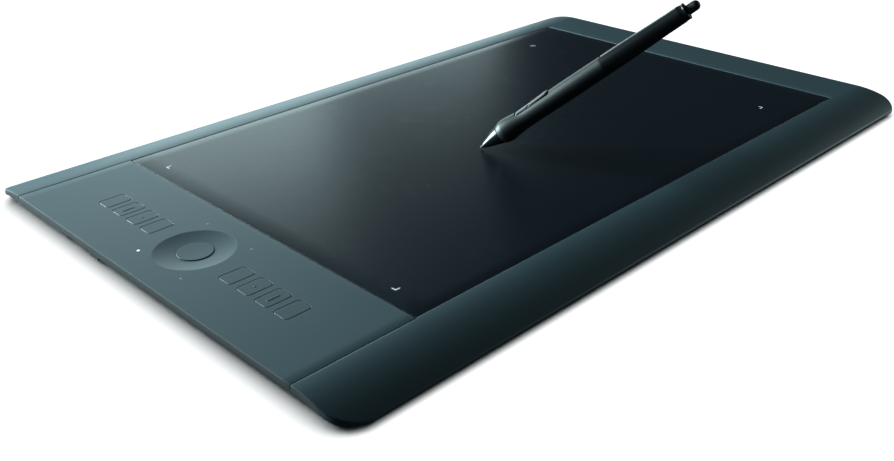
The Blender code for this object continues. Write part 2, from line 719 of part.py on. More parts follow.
# ---- electronics -----------------------------------------------------------------------------
def board_plan():
    low = (ACTIVE_LOW_X - BOARD_MARGIN, -ACTIVE_HALF_Y - BOARD_MARGIN)
    high = (ACTIVE_HIGH_X + BOARD_MARGIN, ACTIVE_HALF_Y + BOARD_MARGIN)
    return low, high


def make_sensor_stack():
    low, high = board_plan()
    board_top = COVER_UNDERSIDE - GAP
    board_low = board_top - BOARD_THICKNESS
    mesh = box_mesh("sensor_board", (*low, board_low), (*high, board_top), 3 * MM, 2)
    add_object("sensor_board", mesh, "circuit_board")
    shield_top = board_low - GAP
    mesh = box_mesh("shield_plate", (*low, shield_top - SHIELD_THICKNESS), (*high, shield_top), 3 * MM, 2)
    add_object("shield_plate", mesh, "sheet_steel")


def make_key_board():
    """One strip under all the keys, with a dome switch below each, joined to it."""
    top = TOP - KEY_BOARD_DROP
    low = (RING_X - KEY_BOARD_WIDTH / 2, -FLAT_Y + 6 * MM, top - BOARD_THICKNESS)
    high = (RING_X + KEY_BOARD_WIDTH / 2, FLAT_Y - 6 * MM, top)
    board = add_object("key_board", box_mesh("key_board", low, high, 2 * MM, 2), "circuit_board")
    for number, y in enumerate([*key_places(), 0], 1):
        name = f"switch_dome_{number}"
        dome = cylinder_mesh(
            name, DOME_RADIUS, top - BOARD_THICKNESS / 2, top + DOME_HEIGHT, (RING_X, y), 12, DOME_RADIUS / 2
        )
        boolean(board, add_object(name, dome), "UNION")


def make_ring_board():
    inner = RING_BUTTON_RADIUS + RING_BUTTON_FLANGE + GAP
    outer = RING_RADIUS - 2 * MM
    top = COVER_UNDERSIDE - GAP
    profile = [(inner, top), (outer, top), (outer, top - BOARD_THICKNESS), (inner, top - BOARD_THICKNESS)]
    turned("ring_sensor_board", profile, "circuit_board", 32).location = (RING_X, 0, 0)


def make_control_board():
    """The board with three chips, halfway between the tray's floor and the shield."""
    top = (TRAY_FLOOR_TOP + SHIELD_LOW + BOARD_THICKNESS) / 2
    low_x = PANEL_HIGH_X + 12 * MM
    low_y = -FLAT_Y + 12 * MM
    size_x, size_y = CONTROL_BOARD_SIZE
    mesh = box_mesh(
        "control_board",
        (low_x, low_y, top - BOARD_THICKNESS),
        (low_x + size_x, low_y + size_y, top),
    )
    board = add_object("control_board", mesh, "circuit_board")
    for step in range(3):
        name = f"chip_{step + 1}"
        low = (low_x + CHIP_INSET + step * CHIP_PITCH, low_y + CHIP_INSET, top - BOARD_THICKNESS / 2)
        chip = box_mesh(name, low, (low[0] + CHIP_SIZE[0], low[1] + CHIP_SIZE[1], top + CHIP_HEIGHT))
        boolean(board, add_object(name, chip), "UNION")


def left_wall(height):
    """Where the outside of the tray's left wall is, at a height below its shoulder."""
    slope = (TRAY_INSET_BOTTOM - TRAY_INSET_TOP) / (TRAY_SHOULDER - TRAY_BOTTOM)
    return -HALF_X + TRAY_INSET_TOP + slope * (TRAY_SHOULDER - height)


def socket_box():
    """The charging and data socket's outer box, its low edge level with the tray's sloping wall."""
    mouth = left_wall(SOCKET_MIDDLE - SOCKET_SIZE[2] / 2)
    low = (mouth, SOCKET_Y - SOCKET_SIZE[1] / 2, SOCKET_MIDDLE - SOCKET_SIZE[2] / 2)
    high = (mouth + SOCKET_SIZE[0], SOCKET_Y + SOCKET_SIZE[1] / 2, SOCKET_MIDDLE + SOCKET_SIZE[2] / 2)
    return low, high


def make_usb_socket():
    """A folded metal shell that is open to the left, with its contact tongue inside."""
    low, high = socket_box()
    socket = add_object("usb_socket", box_mesh("usb_socket", low, high), "sheet_steel")
    inner_low = (low[0] - OVERCUT, low[1] + SOCKET_WALL, low[2] + SOCKET_WALL)
    inner_high = (high[0] - 1 * MM, high[1] - SOCKET_WALL, high[2] - SOCKET_WALL)
    cut_box(socket, "socket_mouth", inner_low, inner_high)
    middle = (low[2] + high[2]) / 2
    tongue = box_mesh(
        "socket_tongue",
        (low[0] + 1 * MM, low[1] + 1.6 * MM, middle - 0.3 * MM),
        (high[0] - 0.5 * MM, high[1] - 1.6 * MM, middle + 0.3 * MM),
    )
    boolean(socket, add_object("socket_tongue", tongue), "UNION")


def power_box():
    face = left_wall(SOCKET_MIDDLE) - POWER_PROUD
    return (
        (face, POWER_Y - POWER_LENGTH / 2, SOCKET_MIDDLE - POWER_HEIGHT / 2),
        (face + POWER_REACH, POWER_Y + POWER_LENGTH / 2, SOCKET_MIDDLE + POWER_HEIGHT / 2),
    )


def make_power_button():
    low, high = power_box()
    middle = (Vector(low) + Vector(high)) / 2
    mesh = box_mesh("power_button", Vector(low) - middle, Vector(high) - middle)
    add_object("power_button", mesh, "black_shell").location = middle


def make_bay_contents():
    for name, (x, y), (size_x, size_y, size_z) in bays():
        node = "battery_pack" if name == "battery" else "wireless_module"
        low = (x - size_x / 2, y - size_y / 2, BAY_CONTENTS_LOW)
        high = (x + size_x / 2, y + size_y / 2, BAY_CONTENTS_LOW + size_z)
        add_object(node, box_mesh(node, low, high, 1.2 * MM, 2), "battery_wrap")


# ---- pen -------------------------------------------------------------------------------------
def pen_frame():
    """The pen's own frame: its tip at the origin, +Z up its axis to the eraser, +X to its side switch."""
    axis = Vector(
        (
            math.cos(PEN_LEAN) * math.cos(PEN_HEADING),
            math.cos(PEN_LEAN) * math.sin(PEN_HEADING),
            math.sin(PEN_LEAN),
        )
    )
    level = Vector((-math.sin(PEN_HEADING), math.cos(PEN_HEADING), 0))
    upper = axis.cross(level).normalized()
    side = math.cos(PEN_SWITCH_ROLL) * upper - math.sin(PEN_SWITCH_ROLL) * level
    tip = Vector((*PEN_TIP, SHEET_TOP + PEN_HOVER + NIB_RADIUS * (1 - math.sin(PEN_LEAN))))
    turn = Matrix((side, axis.cross(side), axis)).transposed().to_4x4()
    return Matrix.Translation(tip) @ turn


def make_pen_empty():
    pen = bpy.data.objects.new("pen", None)
    bpy.data.collections[PARTS].objects.link(pen)
    pen.matrix_world = pen_frame()
    pen.empty_display_size = 0.02
    return pen


def smooth(low, high, fraction):
    """Eases from low to high with level ends."""
    return low + (high - low) * (1 - math.cos(math.pi * fraction)) / 2


def grip_radius(at):
    """The grip's radius at a distance from the tip: a flare, a waist, and a long slight swell."""
    knots = [
        (CONE_END, CONE_RADIUS),
        (GRIP_FLARE_AT, GRIP_FLARE_RADIUS),
        (GRIP_WAIST_AT, GRIP_WAIST_RADIUS),
        (GRIP_SWELL_AT, GRIP_SWELL_RADIUS),
        (GRIP_END, BARREL_RADIUS),
    ]
    for (start, first), (end, last) in zip(knots, knots[1:]):
        if at <= end:
            fraction = (at - start) / (end - start)
            if start == CONE_END:
                return first + (last - first) * math.sin(fraction * math.pi / 2)
            return smooth(first, last, fraction)
    return BARREL_RADIUS


def make_pen_nib():
    dome = [
        (NIB_RADIUS * math.sin(a), NIB_RADIUS * (1 - math.cos(a)))
        for a in (math.pi / 2, math.pi / 3, math.pi / 6, 0)
    ]
    profile = [(0, NIB_LENGTH), (NIB_RADIUS, NIB_LENGTH), *dome[:-1], (0, 0)]
    return turned("pen_nib", profile, "nib_plastic", 16)


def make_pen_nose_cone():
    bore = NIB_RADIUS + GAP
    steps = 5
    outer = []
    for step in range(steps + 1):
        fraction = 1 - step / steps
        at = CONE_START + (CONE_END - GAP - CONE_START) * fraction
        bulge = 0.25 * MM * math.sin(math.pi * fraction)
        outer.append((CONE_TIP_RADIUS + (CONE_RADIUS - CONE_TIP_RADIUS) * fraction + bulge, at))
    inner = [(bore, CONE_START), (bore, CONE_END - 2 * MM), (BARREL_BORE, CONE_END - GAP)]
    return turned("pen_nose_cone", outer + inner, "pen_gloss", 28)


def make_pen_grip():
    steps = 16
    places = [GRIP_END + (CONE_END - GRIP_END) * step / steps for step in range(steps + 1)]
    places = sorted({*places, GRIP_FLARE_AT}, reverse=True)
    outer = [(grip_radius(at), at) for at in places]
    bore = BARREL_TUBE_RADIUS + GAP
    grip = turned("pen_grip", [*outer, (bore, CONE_END), (bore, GRIP_END)], "pen_rubber", 28)
    half = SWITCH_BREADTH / 2 + GAP
    cutter = box_mesh(
        "switch_window",
        (0, -half, SWITCH_START - GAP),
        (GRIP_FLARE_RADIUS + OVERCUT, half, SWITCH_END + GAP),
    )
    boolean(grip, add_object("switch_window", cutter))
    return grip


def make_pen_barrel():
    """The barrel behind the grip, with the inner tube that carries the grip and the coil."""
    steps = 8
    outer = []
    for step in range(steps + 1):
        fraction = 1 - step / steps
        at = GRIP_END + GAP + (BARREL_END - GRIP_END - GAP) * fraction
        outer.append((smooth(BARREL_RADIUS, BARREL_END_RADIUS, fraction), at))
    tube_start = CONE_END + GAP
    outer += [(BARREL_TUBE_RADIUS, GRIP_END + GAP), (BARREL_TUBE_RADIUS, tube_start)]
    inner = [(BARREL_BORE, tube_start), (BARREL_BORE, BARREL_END)]
    return turned("pen_barrel", outer + inner, "pen_gloss", 28)


def make_pen_end_ring():
    bore = ERASER_RADIUS + GAP
    start = BARREL_END + GAP
    outer = [
        (RING_LIP_RADIUS - 0.5 * MM, RING_LIP_AT),
        (RING_LIP_RADIUS, RING_LIP_AT - 0.3 * MM),
        (RING_LIP_RADIUS, RING_LIP_AT - 0.8 * MM),
        (RING_WAIST_RADIUS, RING_LIP_AT - 1.6 * MM),
        (BARREL_END_RADIUS - 0.1 * MM, start),
    ]
    return turned("pen_end_ring", [*outer, (bore, start), (bore, RING_LIP_AT)], "pen_gloss", 28)


def make_pen_eraser():
    steps = 5
    dome = []
    for step in range(1, steps):
        angle = math.pi / 2 * step / steps
        dome.append((ERASER_RADIUS * math.sin(angle), PEN_LENGTH - ERASER_RADIUS * (1 - math.cos(angle))))
    profile = [(0, PEN_LENGTH), *dome, (ERASER_RADIUS, PEN_LENGTH - ERASER_RADIUS), (ERASER_RADIUS, ERASER_ROOT)]
    return turned("pen_eraser", [*profile, (0, ERASER_ROOT)], "pen_rubber", 20)


def make_pen_core():
    profile = [(0, CORE_END), (CORE_RADIUS, CORE_END), (CORE_RADIUS, CORE_START), (0, CORE_START)]
    return turned("pen_coil_core", profile, "circuit_board", 20)


def make_pen_switch():
    """A rocker with a low front half and a rear half that rises, cut from its side outline."""
    points = [
        (SWITCH_START, SWITCH_FLOOR),
        (SWITCH_END, SWITCH_FLOOR),
        (SWITCH_END, SWITCH_TOP - 0.4 * MM),
        (SWITCH_END - 2 * MM, SWITCH_REAR_TOP),
        (SWITCH_SPLIT + 0.8 * MM, SWITCH_TOP),
        (SWITCH_SPLIT, SWITCH_TOP - 0.3 * MM),
        (SWITCH_SPLIT - 0.8 * MM, SWITCH_TOP),
        (SWITCH_START + 1.5 * MM, SWITCH_TOP - 0.1 * MM),
        (SWITCH_START, SWITCH_TOP - 0.5 * MM),
    ]
    points = [(at - SWITCH_PIVOT_AT, radius - SWITCH_PIVOT_RADIUS) for at, radius in points]
    mesh = outline_mesh("pen_side_switch", points, SWITCH_BREADTH)
    mesh.transform(Matrix(((0, 1, 0, 0), (0, 0, 1, 0), (1, 0, 0, 0), (0, 0, 0, 1))))
    switch = add_object("pen_side_switch", mesh, "pen_gloss")
    switch.location = (SWITCH_PIVOT_RADIUS, 0, SWITCH_PIVOT_AT)
    return switch


def make_pen():
    pen = make_pen_empty()
    makers = (
        make_pen_nib,
        make_pen_nose_cone,
        make_pen_grip,
        make_pen_barrel,
        make_pen_end_ring,
        make_pen_eraser,
        make_pen_core,
        make_pen_switch,
    )
    for maker in makers:
        maker().parent = pen
    bpy.data.objects["switch_window"].parent = pen


def main():
    clear_scene()
    footprint = footprint_object("footprint")
    make_top_cover(footprint)
    make_key_panel(footprint)
    make_drawing_sheet()
    make_bottom_tray()
    make_feet()
    make_screws()
    make_bay_covers()
    make_keys()
    make_touch_ring()
    make_ring_button()
    make_lights()
    make_markers()
    make_sensor_stack()
    make_key_board()
    make_ring_board()
    make_control_board()
    make_usb_socket()
    make_power_button()
    make_bay_contents()
    make_pen()


main()
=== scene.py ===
"""Looks of a pen drawing tablet and its pen, built round the fixed frame.

Lengths are in metres in the frame's own space: X along the tablet, Y across it, Z up from its feet.
"""

import json
import logging
import math
from collections.abc import Callable
from dataclasses import dataclass, field
from enum import Enum

import bmesh
import bpy
import numpy as np
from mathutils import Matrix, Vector


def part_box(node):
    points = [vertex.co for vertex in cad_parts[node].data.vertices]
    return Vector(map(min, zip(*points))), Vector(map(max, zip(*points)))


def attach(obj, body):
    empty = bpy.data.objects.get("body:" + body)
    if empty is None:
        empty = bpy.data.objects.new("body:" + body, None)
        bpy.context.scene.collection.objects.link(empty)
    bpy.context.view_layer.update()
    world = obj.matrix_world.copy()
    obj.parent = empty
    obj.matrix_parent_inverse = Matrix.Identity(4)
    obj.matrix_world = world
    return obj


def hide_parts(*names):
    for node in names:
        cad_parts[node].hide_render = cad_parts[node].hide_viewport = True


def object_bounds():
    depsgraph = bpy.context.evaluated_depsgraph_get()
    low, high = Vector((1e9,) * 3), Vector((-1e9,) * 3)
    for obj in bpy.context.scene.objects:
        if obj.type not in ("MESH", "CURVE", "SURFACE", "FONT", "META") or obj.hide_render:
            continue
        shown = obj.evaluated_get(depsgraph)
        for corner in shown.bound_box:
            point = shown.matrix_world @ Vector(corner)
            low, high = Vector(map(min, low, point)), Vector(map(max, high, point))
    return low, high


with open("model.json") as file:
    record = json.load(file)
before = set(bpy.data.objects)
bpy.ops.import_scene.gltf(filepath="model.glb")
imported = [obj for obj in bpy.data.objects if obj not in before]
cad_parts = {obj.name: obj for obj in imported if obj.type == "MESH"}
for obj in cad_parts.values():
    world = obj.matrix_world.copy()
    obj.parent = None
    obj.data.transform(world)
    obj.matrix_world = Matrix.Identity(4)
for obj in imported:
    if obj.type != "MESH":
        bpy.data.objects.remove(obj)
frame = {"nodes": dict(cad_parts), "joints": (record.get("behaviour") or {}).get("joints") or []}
CAD_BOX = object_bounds()

MM = 0.001
QUARTER = math.pi / 2
WELD = 2e-6
Array = np.ndarray
Rgb = tuple[float, float, float]
QUARTER_TURNS = [np.array([[c, s], [-s, c]]) for c, s in ((1, 0), (0, 1), (-1, 0), (0, -1))]
LOG = logging.getLogger("pen_tablet")


class Slot(Enum):
    """The record's material slots."""

    SHELL = "satin_shell"
    TRAY = "black_shell"
    FILM = "drawing_film"
    KEY = "key_plastic"
    BOARD = "circuit_board"
    STEEL = "sheet_steel"
    GUIDE = "clear_guide"
    RUBBER = "foot_rubber"
    WRAP = "battery_wrap"
    PEN = "pen_gloss"
    GRIP = "pen_rubber"
    NIB = "nib_plastic"


# ---- surfaces ----------------------------------------------------------------------------------
@dataclass
class Patchwork:
    """Grids of points that share their borders and are welded into one closed mesh.

    Attributes:
        points: The points of each grid.
        quads: The quads of each grid, as numbers of points.
        count: How many points there are so far.
    """

    points: list[Array] = field(default_factory=list)
    quads: list[Array] = field(default_factory=list)
    count: int = 0

    def grid(self, points: Array, closed: bool = False) -> None:
        """Adds a grid of quads.

        Args:
            points: Positions, rows by columns by 3. A row may shrink to one point, as at a pole.
            closed: Whether the last column joins the first one.
        """
        if closed:
            points = np.concatenate([points, points[:, :1]], axis=1)
        rows, columns = points.shape[:2]
        index = self.count + np.arange(rows * columns).reshape(rows, columns)
        corners = [index[:-1, :-1], index[:-1, 1:], index[1:, 1:], index[1:, :-1]]
        self.quads.append(np.stack(corners, axis=-1).reshape(-1, 4))
        self.points.append(points.reshape(-1, 3))
        self.count += rows * columns

    def flat(self, xs: Array, ys: Array, height: Callable[[Array, Array], Array]) -> None:
        """Adds the grid of a height over the plan spanned by two lists of stations.

        Args:
            xs: The stations along X.
            ys: The stations along Y.
            height: The height at a place of the plan.
        """
        x, y = np.meshgrid(xs, ys)
        self.grid(np.stack([x, y, height(x, y)], axis=-1))

    def build(self, name: str, sharp: float = 38) -> bpy.types.Object:
        """Welds the patches, closes flat ends, turns the faces outwards and makes the object.

        Args:
            name: The object's name.
            sharp: The angle in degrees between faces past which an edge is shaded sharp.

        Returns:
            The object, linked to the scene, at the origin.
        """
        mesh = bpy.data.meshes.new(name)
        mesh.from_pydata(np.concatenate(self.points), [], np.concatenate(self.quads))
        shape = bmesh.new()
        shape.from_mesh(mesh)
        bmesh.ops.remove_doubles(shape, verts=shape.verts, dist=WELD)
        bmesh.ops.holes_fill(shape, edges=[edge for edge in shape.edges if edge.is_boundary], sides=0)
        bmesh.ops.recalc_face_normals(shape, faces=shape.faces)
        open_edges = sum(not edge.is_manifold for edge in shape.edges)
        if open_edges:
            LOG.warning("%s has %d open edges", name, open_edges)
        shape.to_mesh(mesh)
        shape.free()
        mesh.shade_smooth()
        mesh.set_sharp_from_angle(angle=math.radians(sharp))
        obj = bpy.data.objects.new(name, mesh)
        bpy.context.scene.collection.objects.link(obj)
        return obj


def rounded_edge(height: float, fillet: float, steps: int = 3) -> Array:
    """A quarter round from a level top to an upright wall, as rows of (offset outwards, height)."""
    angle = np.linspace(0, QUARTER, steps + 1)
    return np.stack([fillet * (np.sin(angle) - 1), height - fillet * (1 - np.cos(angle))], axis=-1)


def carry(points: Array, normals: Array, profile: Array) -> Array:
    """Carries a profile along an outline: each point is moved along its normal by each row's offset.

    Args:
        points: The outline's points, n by 2.
        normals: The outline's outward normals, n by 2.
        profile: Rows of (offset, height), k by 2.

    Returns:
        Positions, k by n by 3.
    """
    plan = points[None] + profile[:, :1, None] * normals[None]
    height = np.broadcast_to(profile[:, 1:, None], (*plan.shape[:2], 1))
    return np.concatenate([plan, height], axis=-1)


def level(at: float) -> Callable[[Array, Array], Array]:
    """A height over the plan that is the same everywhere."""
    return lambda x, y: at + 0 * x


def row_along_x(xs: Array, y: float, z: float) -> Array:
    """A row of points along X at one Y and one height."""
    return np.stack([xs, np.full_like(xs, y), np.full_like(xs, z)], axis=-1)


def outline_side(half_along: float, half_out: float, corner: float, steps: int) -> tuple[Array, Array]:
    """One side of a rounded rectangle, from the middle of one corner's arc to that of the next.

    The stations are evenly spaced along the arc, the straight and the arc.

    Args:
        half_along: Half the rectangle's size along the side.
        half_out: The side's distance from the middle.
        corner: The corners' radius.
        steps: The number of stations.

    Returns:
        Its points and its outward normals, with +Y outwards.
    """
    arc = math.pi / 4 * corner
    run = 2 * (half_along - corner)
    length = np.linspace(0, 2 * arc + run, steps, endpoint=False)
    turned = np.minimum(length, arc) + np.maximum(length - arc - run, 0)
    angle = math.pi / 4 + turned / corner
    along = half_along - corner - np.clip(length - arc, 0, run)
    normals = np.stack([np.cos(angle), np.sin(angle)], axis=-1)
    feet = np.stack([along, np.full_like(along, half_out - corner)], axis=-1)
    return feet + corner * normals, normals


def outline(half_x: float, half_y: float, corner: float, steps_x: int, steps_y: int) -> tuple[Array, Array]:
    """A rounded rectangle about the origin, counterclockwise from the middle of its (+, +) corner.

    Args:
        half_x: Half its length along X.
        half_y: Half its length along Y.
        corner: Its corners' radius.
        steps_x: The steps in each side that faces Y.
        steps_y: The steps in each side that faces X.

    Returns:
        Its points and its outward normals.
    """
    facing_y = outline_side(half_x, half_y, corner, steps_x)
    facing_x = outline_side(half_y, half_x, corner, steps_y)
    sides = list(zip([facing_y, facing_x] * 2, QUARTER_TURNS))
    points = np.concatenate([side[0] @ turn for side, turn in sides])
    normals = np.concatenate([side[1] @ turn for side, turn in sides])
    return points, normals


def cell_border(xs: Array, ys: Array) -> Array:
    """A rectangle's border through rising stations, counterclockwise from its (+, +) corner.

    Args:
        xs: The stations along X.
        ys: The stations along Y.

    Returns:
        The border's points, n by 2.
    """
    top = np.stack([xs[:0:-1], np.full(len(xs) - 1, ys[-1])], axis=-1)
    left = np.stack([np.full(len(ys) - 1, xs[0]), ys[:0:-1]], axis=-1)
    bottom = np.stack([xs[:-1], np.full(len(xs) - 1, ys[0])], axis=-1)
    right = np.stack([np.full(len(ys) - 1, xs[-1]), ys[:-1]], axis=-1)
    return np.concatenate([top, left, bottom, right])


def circle(radius: float, angles: Array) -> tuple[Array, Array]:
    """Points and outward normals at the given angles of a circle about the origin."""
    normals = np.stack([np.cos(angles), np.sin(angles)], axis=-1)
    return radius * normals, normals


def full_turn(steps: int) -> Array:
    """Evenly spaced angles of one turn."""
    return np.linspace(0, math.tau, steps, endpoint=False)


def domed_plate(
    shape: tuple[Array, Array],
    top: Callable[[Array, Array], Array],
    low: float,
    fillet: float,
) -> Array:
    """The rings of a closed plate: from a pole over its top, its rounded edge and its wall to its underside.

    The top is a height over the plan. Inside the rounded edge the outline shrinks evenly to the pole.

    Args:
        shape: The plan's points and outward normals.
        top: The height of the top at a place of the plan.
        low: The height of the flat underside.
        fillet: The radius of the upper edge.

    Returns:
        Rings, k by n by 3.
    """
    points, normals = shape
    shares = np.array([0, 0.2, 0.4, 0.6, 0.8, 0.93])
    inner = points - fillet * normals
    rings = [np.concatenate([share * inner, np.zeros((len(inner), 1))], axis=-1) for share in shares]
    rings += list(carry(points, normals, rounded_edge(0, fillet, 4)))
    lifts = [top(ring[:, :1], ring[:, 1:2]) for ring in rings]
    rings = [np.concatenate([ring[:, :2], ring[:, 2:] + lift], axis=-1) for ring, lift in zip(rings, lifts)]
    foot = np.concatenate([points, np.full((len(points), 1), low)], axis=-1)
    pole = np.broadcast_to(foot.mean(axis=0), foot.shape)
    return np.stack([*rings, foot, pole])


def turned_rings(profile: Array, steps: int) -> Array:
    """Turns a profile about the Z axis: each row's radius times the unit circle, at its distance.

    Args:
        profile: Rows of (radius, distance along the axis).
        steps: The steps of one turn.

    Returns:
        Rings, rows by steps by 3.
    """
    angle = full_turn(steps)
    spin = np.stack([np.cos(angle), np.sin(angle), np.zeros(steps)], axis=-1)
    return profile[:, :1, None] * spin[None] + profile[:, 1:, None] * np.array([0, 0, 1.0])


def dress(
    obj: bpy.types.Object,
    material: bpy.types.Material,
    slot: Slot,
    body: str = "root",
    nodes: tuple[str, ...] = (),
) -> bpy.types.Object:
    """Gives a new piece its finish, its body and the nodes that it stands for.

    Args:
        obj: The piece.
        material: Its finish.
        slot: The record's slot of that finish; not used.
        body: The body that carries it.
        nodes: The frame's nodes that it replaces.

    Returns:
        The piece.
    """
    obj.data.materials.clear()
    obj.data.materials.append(material)
    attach(obj, body)
    if nodes:
        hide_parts(*nodes)
    LOG.info("%s: %d faces on %s", obj.name, len(obj.data.polygons), body)
    return obj


# ---- finishes ----------------------------------------------------------------------------------
OWN_COORDINATES = 3
# Painted shade on the shell's left wall: past this X its colour falls to near black and its roughness rises,
# to dull the light and the highlight that the lamps put there.
SHADED_WALL_X = CAD_BOX[0][0] + 0.5 * MM
SHADE_STEP = 0.3 * MM
WALL_PAINTED_SHADE: Rgb = (0.004, 0.006, 0.008)
SHADED_WALL_ROUGHER = 0.45


@dataclass(frozen=True)
class Wire:
    """A node's output, which adds Math nodes where it is used in a sum.

    Attributes:
        graph: The material's nodes that it is one of.
        socket: The output.
    """

    graph: "Graph"
    socket: bpy.types.NodeSocket

    def __add__(self, other: "Wire | float") -> "Wire":
        """Self plus other."""
        return self.graph.maths("ADD", self, other)

    def __mul__(self, other: "Wire | float") -> "Wire":
        """Self times other."""
        return self.graph.maths("MULTIPLY", self, other)

    def __sub__(self, other: "Wire | float") -> "Wire":
        """Self less other."""
        return self.graph.maths("SUBTRACT", self, other)

    def __rsub__(self, other: float) -> "Wire":
        """Other less self."""
        return self.graph.maths("SUBTRACT", other, self)

    __radd__ = __add__
    __rmul__ = __mul__


@dataclass
class Graph:
    """A material's nodes.

    Attributes:
        material: The material.
    """

    material: bpy.types.Material

    def node(
        self,
        kind: str,
        settings: dict[str, object],
        inputs: dict[str | int, object],
        output: int = 0,
    ) -> Wire:
        """Adds a node.

        Args:
            kind: The node's type.
            settings: Its own settings, which are set first.
            inputs: Values or wires for its sockets, by name or number.
            output: The number of the output that is wanted.

        Returns:
            That output.
        """
        made = self.material.node_tree.nodes.new(kind)
        for name, value in settings.items():
            setattr(made, name, value)
        for name, value in inputs.items():
            self.plug(made.inputs[name], value)
        return Wire(self, made.outputs[output])

    def plug(self, socket: bpy.types.NodeSocket, value: object) -> None:
        """Links a wire to a socket, or sets the socket's value.

        Args:
            socket: The input.
            value: A wire, or the value to set.
        """
        if isinstance(value, Wire):
            self.material.node_tree.links.new(value.socket, socket)
        else:
            socket.default_value = value

    def maths(self, operation: str, first: "Wire | float", second: "Wire | float") -> Wire:
        """One Math node."""
        return self.node("ShaderNodeMath", {"operation": operation}, {0: first, 1: second})

    def noise(self, scale: float, detail: float = 2.0) -> Wire:
        """Noise from 0 to 1 on the object's own coordinates, its scale in waves a metre."""
        place = self.node("ShaderNodeTexCoord", {}, {}, OWN_COORDINATES)
        return self.node("ShaderNodeTexNoise", {}, {"Vector": place, "Scale": scale, "Detail": detail})

    def past(self, limit: float, soft: float) -> Wire:
        """From 0 to 1 where the object's own X falls below a limit: a straight ramp over a soft step.

        Args:
            limit: The X where it starts to rise.
            soft: The step's breadth.

        Returns:
            The share.
        """
        place = self.node("ShaderNodeTexCoord", {}, {}, OWN_COORDINATES)
        along = self.node("ShaderNodeSeparateXYZ", {}, {0: place})
        ends = {"Value": along, "From Min": limit, "From Max": limit - soft}
        return self.node("ShaderNodeMapRange", {}, ends)

    def blend(self, share: Wire, first: Wire | Rgb, second: Rgb) -> Wire:
        """A colour between two others.

        Args:
            share: How much of the second colour it has.
            first: The first colour, or a wire that holds it.
            second: The second colour.

        Returns:
            The colour.
        """
        start = first if isinstance(first, Wire) else (*first, 1)
        return self.node("ShaderNodeMix", {"data_type": "RGBA"}, {0: share, 6: start, 7: (*second, 1)}, 2)


@dataclass(frozen=True)
class Finish:
    """A moulded, printed or pressed surface: a colour that varies a little, over a fine grain.

    Attributes:
        slot: The record's slot that it dresses.
        colour: The main colour, linear.
        roughness: The mean roughness.
        variation: How far the colour swings to each side, as a share.
        cloud: The waves a metre of that swing.
        grain: The waves a metre of the surface's grain.
        depth: The grain's height in metres.
        uneven: How far the roughness swings.
        metallic: The metallic value.
        glow: The light that it gives off, as a strength.
        painted_shade_end: The X past which the left wall gets painted shade: its colour falls to near black
            and its roughness rises to dull its highlight, or 0 for none.
    """

    slot: Slot
    colour: Rgb
    roughness: float
    variation: float = 0.05
    cloud: float = 60.0
    grain: float = 2600.0
    depth: float = 4e-6
    uneven: float = 0.05
    metallic: float = 0.0
    glow: float = 0.0
    painted_shade_end: float = 0.0

    def material(self, name: str) -> bpy.types.Material:
        """Builds the finish as a Principled shader.

        Args:
            name: The material's name.

        Returns:
            The material.
        """
        made = bpy.data.materials.new(name)
        made.use_nodes = True
        graph = Graph(made)
        shader = made.node_tree.nodes["Principled BSDF"]
        cloud = graph.noise(self.cloud, 3.0)
        grain = graph.noise(self.grain, 2.0)
        darker = tuple(c * (1 - self.variation) for c in self.colour)
        lighter = tuple(c * (1 + self.variation) for c in self.colour)
        bump = graph.node("ShaderNodeBump", {}, {"Strength": 1.0, "Distance": self.depth, "Height": grain})
        rough = self.roughness + self.uneven * (cloud + grain - 1)
        colour = graph.blend(cloud * 0.5 + grain * 0.5, darker, lighter)
        # Painted shade: past the left wall's X the colour blends to near black and the roughness rises,
        # dulling the wall's highlight.
        if self.painted_shade_end:
            wall = graph.past(self.painted_shade_end, SHADE_STEP)
            colour = graph.blend(wall, colour, WALL_PAINTED_SHADE)
            rough = rough + wall * SHADED_WALL_ROUGHER
        sockets = {
            "Base Color": colour,
            "Roughness": rough,
            "Metallic": self.metallic,
            "Normal": bump,
            "Emission Color": (*self.colour, 1),
            "Emission Strength": self.glow,
        }
        for socket, value in sockets.items():
            graph.plug(shader.inputs[socket], value)
        return made


@dataclass(frozen=True)
class Palette:
    """Every finish of the tablet and the pen."""

    # The shell's finish carries painted shade on the tablet's left wall.
    shell: Finish = Finish(Slot.SHELL, (0.050, 0.085, 0.100), 0.42, painted_shade_end=SHADED_WALL_X)
    key: Finish = Finish(Slot.KEY, (0.047, 0.080, 0.094), 0.42)
    film: Finish = Finish(
        Slot.FILM, (0.005, 0.010, 0.016), 0.27, grain=3400.0, depth=2e-6, cloud=25.0, uneven=0.015
    )
    tray: Finish = Finish(Slot.TRAY, (0.008, 0.010, 0.012), 0.55, grain=1500.0, depth=1.5e-5)
    rubber: Finish = Finish(Slot.RUBBER, (0.016, 0.016, 0.017), 0.8, grain=1800.0, depth=1e-5)
    pen: Finish = Finish(Slot.PEN, (0.006, 0.008, 0.010), 0.25, grain=3000.0, depth=1e-6)
    grip: Finish = Finish(Slot.GRIP, (0.008, 0.011, 0.013), 0.45, grain=2600.0, depth=5e-6)
    nib: Finish = Finish(Slot.NIB, (0.03, 0.03, 0.03), 0.4)
    guide: Finish = Finish(Slot.GUIDE, (0.30, 0.34, 0.35), 0.3)
    lit: Finish = Finish(Slot.GUIDE, (0.80, 0.95, 1.0), 0.3, glow=1.5)
    mark: Finish = Finish(Slot.GUIDE, (0.75, 0.82, 0.85), 0.45, glow=0.35)
    steel: Finish = Finish(Slot.STEEL, (0.55, 0.56, 0.57), 0.32, metallic=1.0, grain=900.0)
    board: Finish = Finish(Slot.BOARD, (0.02, 0.13, 0.07), 0.5, variation=0.25, cloud=400.0)
    wrap: Finish = Finish(Slot.WRAP, (0.10, 0.10, 0.11), 0.5)


